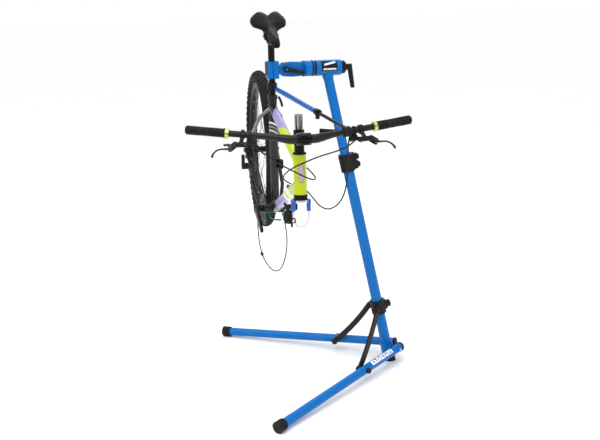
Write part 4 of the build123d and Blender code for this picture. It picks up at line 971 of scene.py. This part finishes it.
def saddle_height(x, y, share):
    """How high the cover stands over the rails' plane; share is 0 at the edge and 1 on the middle line."""
    height = 25 + 25 * (1 - (1 - share) ** 2.6) ** 0.62
    rear = min(max((y + 20) / 90, 0), 1)
    height += 6.5 * rear * exp(-((abs(x) - 38) / 18) ** 2) + max(0, y - 50) * 0.14
    height -= 6.5 * exp(-(x / 9) ** 2) * min(max((y + 95) / 50, 0), 1)
    height -= 3.5 * exp(-((y + 5) / 45) ** 2)
    return height - 5 * min(max((-y - 120) / 30, 0), 1)


def saddle_ring(share, lift=0.0, spread=1.0):
    ring = []
    for x, y in saddle_edge():
        middle = min(max(y * 0.9, -128), 78)
        px, py = x * (1 - share) * spread, y + (middle - y) * share
        height = saddle_height(px, py, share) + lift
        ring.append(saddle_place @ Vector((px / 1000, py / 1000, height / 1000)))
    return ring


def settled(piece, held, pressure=4.0, limit=0.0025):
    """Cloth filled under pressure settles for 20 frames; no point moves further than limit."""
    rest = [vertex.co.copy() for vertex in piece.data.vertices]
    group = piece.vertex_groups.new(name="held")
    for i, point in enumerate(rest):
        group.add([i], held(point), "REPLACE")
    cloth = piece.modifiers.new("cloth", "CLOTH")
    cloth.settings.use_pressure = True
    cloth.settings.uniform_pressure_force = pressure
    cloth.settings.vertex_group_mass = "held"
    cloth.settings.effector_weights.gravity = 0
    cloth.settings.quality = 6
    cloth.settings.mass = 0.4
    cloth.settings.tension_stiffness = 30
    cloth.settings.bending_stiffness = 4
    cloth.point_cache.frame_start, cloth.point_cache.frame_end = 1, 20
    for moment in range(1, 21):
        scene.frame_set(moment)
    shaped = piece.evaluated_get(bpy.context.evaluated_depsgraph_get()).to_mesh()
    moved = [vertex.co.copy() for vertex in shaped.vertices]
    piece.modifiers.remove(cloth)
    scene.frame_set(1)
    for vertex, before, after in zip(piece.data.vertices, rest, moved):
        step = after - before
        if step.length > limit:
            step *= limit / step.length
        vertex.co = before + step


def make_saddle():
    """The padded cover, remeshed and settled under pressure, over its shell, seams and clamp."""
    cover = Shape()
    skirt = [saddle_ring(0.3, -12), saddle_ring(0.12, -9), saddle_ring(0.03, -4)]
    shares = (0, 0.05, 0.12, 0.22, 0.34, 0.48, 0.62, 0.76, 0.88, 0.97)
    cover.skin(skirt + [saddle_ring(share) for share in shares])
    piece = cover.done("saddle_cover", saddle_leather, "saddle_cover", stands_for=["saddle"], sharp=80)
    remesh = piece.modifiers.new("remesh", "REMESH")
    remesh.mode = "VOXEL"
    remesh.voxel_size = 0.004
    remesh.use_smooth_shade = True
    dense = bpy.data.meshes.new_from_object(piece.evaluated_get(bpy.context.evaluated_depsgraph_get()))
    piece.modifiers.remove(remesh)
    piece.data = dense
    low = saddle_place.inverted()
    settled(piece, lambda point: min(max((0.030 - (low @ point).z) / 0.008, 0), 1))
    rounder = piece.modifiers.new("rounder", "SUBSURF")
    rounder.levels = rounder.render_levels = 1

    shell = Shape()
    shell.skin([saddle_ring(*row) for row in ((0.5, -27), (0.35, -24), (0.1, -13), (0.0, -5, 1.012),
                                              (0.0, -1.5, 1.012), (0.02, -3, 0.99))])
    shell.done("saddle_shell", black_plastic, "black_plastic", sharp=50)
    seams = Shape()
    for share in (0.015, 0.27):
        ring = saddle_ring(share, 0.25)
        seams.swept(ring + ring[:2], 0.8, 8)
    seams.done("saddle_seams", black_plastic, "black_plastic", sharp=60)
    clamp = Shape()
    top = placed(at(0, 0, 1471), UP, bike_left)
    clamp.turned(top, [(-10, 14.2), (-4, 15.6), (5, 15.6), (8, 13)], 36)
    clamp.swept([saddle_place @ Vector((x, 0.002, 0.002)) for x in (-0.030, 0.030)], 8.5, 24)
    clamp.done("saddle_clamp", black_alloy, "black_alloy")
    bolts = Shape()
    for side in (-1, 1):
        bolts.bolt(saddle_place @ Vector((side * 0.030, 0.002, 0.002)), bike_left * side, 5, 3)
    bolts.done("saddle_bolts", silver_steel, "silver_steel")


# ------------------------------------------------------------------ stand: caps, labels, welds and bolts
LEG_RADIUS = 19.0
BARREL_RADIUS = 0.0325
RIGHT = Vector((1, 0, 0))


def leg_line(name):
    """A leg's fold pivot, its direction, and the distance to its foot in millimetres."""
    side = 1 if name == "far" else -1
    start = pivot(f"leg_{name}_fold")
    foot = Vector((-0.6577, side * 0.5222, 0.026))
    return start, (foot - start).normalized(), (foot - start).length * 1000


def make_leg_caps():
    for name in ("far", "near"):
        start, along, length = leg_line(name)
        caps = Shape()
        place = placed(start, along, UP)
        front = [(length - 20, 19.1), (length - 20, 22.6)]
        height = length - 18
        while height < length + 9:
            front += [(height, 22.4), (height + 0.6, 23.8), (height + 2.6, 23.8), (height + 3.2, 22.4)]
            height += 4
        end = ((12, 24.6), (18, 24.8), (20, 22.5), (20, 8), (19, 6))
        front += [(length + past, size) for past, size in end]
        caps.turned(place, front, 56)
        tail = [(-29, 19.1), (-29.3, 20.6), (-30.5, 21.4), (-38, 21.3), (-40.6, 19.8), (-41, 12), (-40.2, 10)]
        caps.turned(place, tail, 56)
        caps.done(f"ribbed_caps_{name}", black_rubber, "black_rubber", f"leg_{name}",
                  stands_for=[f"leg_caps_{name}"], sharp=40)


def patch(shape, place, radius, heights, angles, steps=28, rise=0.25):
    """A thin sheet stuck round a tube: heights and radius in millimetres along and from place's z."""
    low, high = heights
    section = ((radius - 0.4, low), (radius + rise, low), (radius + rise, high), (radius - 0.4, high))
    rings = []
    for i in range(steps + 1):
        angle = radians(angles[0] + (angles[1] - angles[0]) * i / steps)
        rings.append([place @ (Vector((size * cos(angle), size * sin(angle), height)) / 1000)
                      for size, height in section])
    shape.skin(rings)


def make_labels():
    """Plain generic marks on the near leg and on the clamp barrel."""
    start, along = leg_line("near")[:2]
    out = Vector((-0.35, -0.8, 0.75))
    out = (out - along * out.dot(along)).normalized()
    place = placed(start, along, out)
    leg_label = Shape()
    patch(leg_label, place, LEG_RADIUS, (46, 206), (-42, 42))
    finish = moulded("leg_label", WHITE, 0.35, grain=0.002, grain_depth=0.00002)
    over = finish.along(start, along)
    round_it = finish.along(start, out.cross(along))
    bars = ((30, 34, -9, 8), (34, 41, 3, 8), (46, 50, -8, 9), (55, 60, -9, 2), (62, 66, -4, 9),
            (72, 76, -9, 8), (76, 84, -2, 3), (90, 98, -9, -4), (90, 94, -9, 9), (104, 108, -6, 9),
            (112, 120, -9, -3), (114, 118, -9, 8), (127, 133, -6, 6))
    marks, stretch, start_at = 0.0, 1.33, 16
    for low, high, side_low, side_high in bars:
        ends = [(value * stretch + start_at) / 1000 for value in (low, high)]
        long = finish.between(over, *ends)
        mark = finish.times(long, finish.between(round_it, side_low / 1000, side_high / 1000))
        marks = finish.math("MAXIMUM", marks, mark)
    edge = finish.between(round_it, -0.0108, 0.0108)
    paint_over(finish, finish.math("SUBTRACT", 1.0, edge), BLUE)
    paint_over(finish, marks, rgb(38, 62, 120))
    leg_label.done("leg_label", finish, "blue_paint", "leg_near", sharp=60)

    barrel_end = Vector((-0.3385, 0, head_axis.z))
    barrel = placed(barrel_end, RIGHT, Vector((0, -0.95, 0.3)))
    barrel_label = Shape()
    patch(barrel_label, barrel, 32.5, (20, 88), (-40, 40), rise=0.2)
    finish = moulded("barrel_label", BLACK, 0.3, grain=0.002, grain_depth=0.00002)
    over = finish.along(barrel_end, RIGHT)
    high = finish.along(barrel_end, (0, 0.3, 0.95))
    slope = finish.plus(high, finish.times(over, -0.22))
    swoosh = finish.between(slope, -0.006, 0.0015, 0.002)
    swoosh = finish.times(swoosh, finish.between(over, 0.032, 0.080, 0.004))
    bars = finish.times(finish.between(high, -0.0165, -0.010), finish.between(over, 0.028, 0.082))
    gaps = finish.math("FRACT", finish.times(over, 118.0))
    bars = finish.times(bars, finish.between(gaps, 0.22, 0.95, 0.06))
    paint_over(finish, finish.math("MAXIMUM", swoosh, bars), WHITE)
    barrel_label.done("barrel_label", finish, "black_plastic", "upper_mast", sharp=60)


def make_stand_details():
    """Bolts and bosses of the legs and struts, and the weld and rings at the clamp barrel."""
    bolts = Shape()
    strut_along_leg, weld_up_mast, mast_radius = 0.250, 1.20, 0.0203
    stud_line = [(-1, 12.5), (9, 12.5), (11.5, 10.5), (11.5, 5.5), (8, 5)]
    boss_line = [(-0.5, 14.5), (4.5, 14.5), (6.5, 12.5), (6.5, 5), (5, 4.6)]
    for name, side in (("far", 1), ("near", -1)):
        start, along = leg_line(name)[:2]
        out = axis(f"leg_{name}_fold").normalized()
        out *= 1 if out.y * side > 0 else -1
        foot = start + along * strut_along_leg
        stud = Shape().turned(placed(foot + out * 0.0185, out, UP), stud_line, 32)
        stud.done(f"strut_bolt_{name}", black_metal, "black_metal", "leg_" + name)
        boss = Shape().turned(placed(foot - out * 0.0317, -out, UP), boss_line, 36)
        boss.done(f"strut_boss_{name}", black_metal, "black_metal", "strut_" + name)
        bolts.bolt(start + out * 0.0224, out, 7.5, 3.5)
    bolts.done("leg_pivot_bolts", silver_steel, "silver_steel", "base")

    ring = []
    for i in range(73):
        angle = tau * i / 72
        radial = mast_across * cos(angle) + Vector((0, 1, 0)) * sin(angle)
        foot = mast_up * weld_up_mast + radial * mast_radius
        seam_height = head_axis.z - sqrt(BARREL_RADIUS ** 2 - foot.y ** 2)
        ring.append(foot + mast_up * ((seam_height - foot.z) / mast_up.z))
    weld = Shape().swept(ring, [2.3 + 0.35 * sin(i * 2.9) for i in range(73)], 10)
    weld.done("barrel_weld", blue_paint, "blue_paint", "upper_mast", sharp=60)

    arm_rings = Shape()
    for left, size, thick in ((-0.392, 33.2, 3.0), (-0.3525, 34.0, 2.5)):
        arm_rings.turned(placed(Vector((left, 0, head_axis.z)), RIGHT, UP),
                         [(0, size - 2), (0.4, size), (thick - 0.4, size), (thick, size - 2)], 64)
    arm_rings.done("arm_rings", blue_paint, "blue_paint")
    head_bolts = Shape()
    for side in (-1, 1):
        head_bolts.bolt(Vector((-0.5465, side * 0.0144, head_axis.z + side * 0.024)), -RIGHT, 5.0, 2.5)
    head_bolts.done("jaw_bolts", silver_steel, "silver_steel", "moving_jaw")
    cam = Shape()
    cam.bolt(Vector((-0.468, -0.0324, head_axis.z + 0.002)), Vector((0, -1, 0)), 6.0, 2.5)
    cam.done("cam_bolt", black_metal, "black_metal", "cam_lever")


# ------------------------------------------------------------------ small parts on the bicycle
def make_bicycle_details():
    """Guards, cable box, hanging caliper, bolts, holder strap, hose clip and headset rings."""
    arc = Shape()
    places = ((-47, -30, 796), (-41, -32, 768), (-29, -34, 735), (-8, -34, 721), (18, -30, 717))
    arc.swept(curved([at(*place) for place in places], 8), 6.4, 12, flat=0.5, side=bike_rear)
    arc.done("green_guard", green_anodised, "blue_anodised", sharp=60)
    lime = Shape()
    line = curved([at(-5, -30, 806), at(-21, -30, 793), at(-30, -30, 776)], 8)
    lime.swept(line, 2.2, 12)
    lime.done("lime_guard", olive_anodised, "frame_lime", sharp=60)

    box = Shape()
    outline = [(-17, -15), (17, -15), (19, -12), (19, 12), (17, 15), (-17, 15), (-19, 12), (-19, -12)]
    box.plate(placed(at(25, -17, 955), bike_left, UP), [outline], 9.0, 2.5)
    box.done("cable_box", black_plastic, "black_plastic")

    caliper = Shape()
    block = [(-24, -14), (-8, -20), (14, -18), (24, -6), (22, 12), (4, 18), (-14, 14), (-26, 4)]

    def by_caliper(left, rear, up):
        return at(left - 43, rear - 590, up + 872)

    caliper.plate(placed(by_caliper(0, 0, 0), bike_rear, UP), [block], 12.0, 3.5)
    caliper.bolt(by_caliper(0, -18.5, 4), -bike_rear, 4, 2)
    cylinder = [(0, 12), (5, 12), (6.5, 10), (6.5, 6), (5, 5)]
    caliper.turned(placed(by_caliper(0, -12, 4), -bike_rear, UP), cylinder, 30)
    caliper.turned(placed(by_caliper(0, -12, -18), -bike_rear, UP), [(0, 7), (4, 7), (5, 5.5)], 24)
    lug = [by_caliper(0, 0, 20), by_caliper(-6, 0, 36), by_caliper(-14, 0, 50)]
    caliper.swept(curved(lug, 6), 5, 14)
    caliper.swept([by_caliper(10, 0, -20), by_caliper(12, 0, -40)], 4.2, 14)
    caliper.done("loose_brake_caliper", black_metal, "black_metal")
    ring = Shape()
    ring_place = placed(at(-31, -625, 864), -bike_rear, UP)
    ring.turned(ring_place, [(-1.5, 6), (-1.5, 10), (1.5, 10), (1.5, 6)], 32, loop=True)
    ring.done("caliper_ring", black_metal, "black_metal")
    bracket_bolts = Shape()
    for side in (-1, 1):
        bracket_bolts.bolt(at(side * 80.5, AXLE_REAR, AXLE_UP), bike_left * side, 8.5, 3)
    bracket_bolts.bolt(at(-92, *PULLEYS["guide_pulley"]), -bike_left, 8, 2)
    bracket_bolts.bolt(at(-92, 400, 919), -bike_left, 6, 2)
    for up in (-10, 10):
        bracket_bolts.bolt(at(67.2, 324, 961 + up), bike_left, 4, 2)
    bracket_bolts.done("bicycle_bolts", silver_steel, "silver_steel")

    strap = Shape()
    line = [at(59, -664, 1186), at(90, -662, 1182), at(120, -660, 1179), at(150, -658, 1176)]
    strap.swept(curved(line, 5), 7.5, 14, flat=0.18, side=UP)
    for left in (146, 162):
        strap.turned(bar_place(1, left), [(-4, 11), (-4, 18.2), (4, 18.2), (4, 11)], 40, loop=True)
    strap.done("holder_strap", black_rubber, "black_plastic", sharp=40)

    clip = Shape()
    clip_place = placed(at(-62, 14, 560), at(-54, -2, 532) - at(-68, 30, 588), bike_rear)
    clip.turned(clip_place, [(-7, 4.5), (-6, 6.5), (6, 6.5), (7, 4.5)], 24)
    clip.swept([clip_place @ Vector((x / 1000, 0.002, 0.001)) for x in (-12, 12)], [3.2, 4.2], 12, flat=0.7)
    clip.done("hose_clip", black_plastic, "black_plastic")

    def round_steerer(along):
        return placed(on_steerer(along / 1000), steering_axis, bike_left)

    rim, cups, rings = Shape(), Shape(), Shape()
    rim_line = [(-3, 14.2), (-3, 14.9), (0.5, 14.9), (1, 14.2), (1, 12.2), (-3, 11.9)]
    rim.turned(round_steerer(209), rim_line, 48, loop=True)
    rim.done("steerer_rim", silver_steel, "silver_steel")
    for along in (-90, -83, -76):
        cups.turned(round_steerer(along), [(-1, 23), (-0.6, 25.2), (3.6, 25.2), (4, 23)], 56)
    cups.turned(round_steerer(75.5), [(0, 18.2), (0, 24.8), (3, 21), (3, 18.2)], 56, loop=True)
    cups.done("headset_rings", black_alloy, "black_alloy")
    for along in (-70, 70):
        rings.turned(round_steerer(along), [(-3, 22.8), (-2.6, 24.1), (2.6, 24.1), (3, 22.8)], 56)
    rings.done("head_tube_rings", lime_paint, "frame_lime")


make_tyre()
make_wheel_details()
make_chain()
make_gears()
make_cranks()
make_bar()
make_grips()
make_levers()
make_stem_bolts()
make_saddle()
make_leg_caps()
make_labels()
make_stand_details()
make_bicycle_details()


# ------------------------------------------------------------------ stage
def make_stage():
    floor_finish = Finish("pale_floor", Roughness=0.7)
    floor_finish.set(Base_Color=floor_finish.shade((0.93, 0.93, 0.93, 1), 0.01, floor_finish.noise(0.6)))
    mesh = bpy.data.meshes.new("floor")
    half = 60.0
    corners = [(-half, -half, 0), (half, -half, 0), (half, half, 0), (-half, half, 0)]
    mesh.from_pydata(corners, [], [(0, 1, 2, 3)])
    mesh.materials.append(floor_finish.material)
    ground = bpy.data.objects.new("floor", mesh)
    scene.collection.objects.link(ground)

    world = bpy.data.worlds.new("studio")
    world.use_nodes = True
    background = world.node_tree.nodes["Background"]
    background.inputs["Color"].default_value = (1.0, 1.0, 1.0, 1)
    seen = world.node_tree.nodes.new("ShaderNodeLightPath").outputs["Is Camera Ray"]
    strength = world.node_tree.nodes.new("ShaderNodeMapRange")
    strength.inputs["To Min"].default_value = 0.42
    strength.inputs["To Max"].default_value = 1.0
    world.node_tree.links.new(seen, strength.inputs["Value"])
    world.node_tree.links.new(strength.outputs["Result"], background.inputs["Strength"])
    scene.world = world
    lamps = (("key", (-2.8, -2.8, 4.2), 2.4, 85), ("fill", (2.8, -2.4, 2.6), 1.8, 48),
             ("back", (0.5, 3.0, 3.6), 2.4, 45))
    for name, place, size, power in lamps:
        data = bpy.data.lights.new(name, "AREA")
        data.size = size
        data.energy = power
        lamp = bpy.data.objects.new(name, data)
        lamp.location = place
        aim = Vector((-0.4, 0, 0.9)) - Vector(place)
        lamp.rotation_euler = aim.to_track_quat("-Z", "Y").to_euler()
        scene.collection.objects.link(lamp)
    data = bpy.data.lights.new("sky", "SUN")
    data.energy = 2.4
    data.angle = radians(70)
    sky = bpy.data.objects.new("sky", data)
    sky.rotation_euler = Vector((0.35, 0.3, -1)).to_track_quat("-Z", "Y").to_euler()
    scene.collection.objects.link(sky)
    scene.view_settings.view_transform = "Standard"


make_stage()
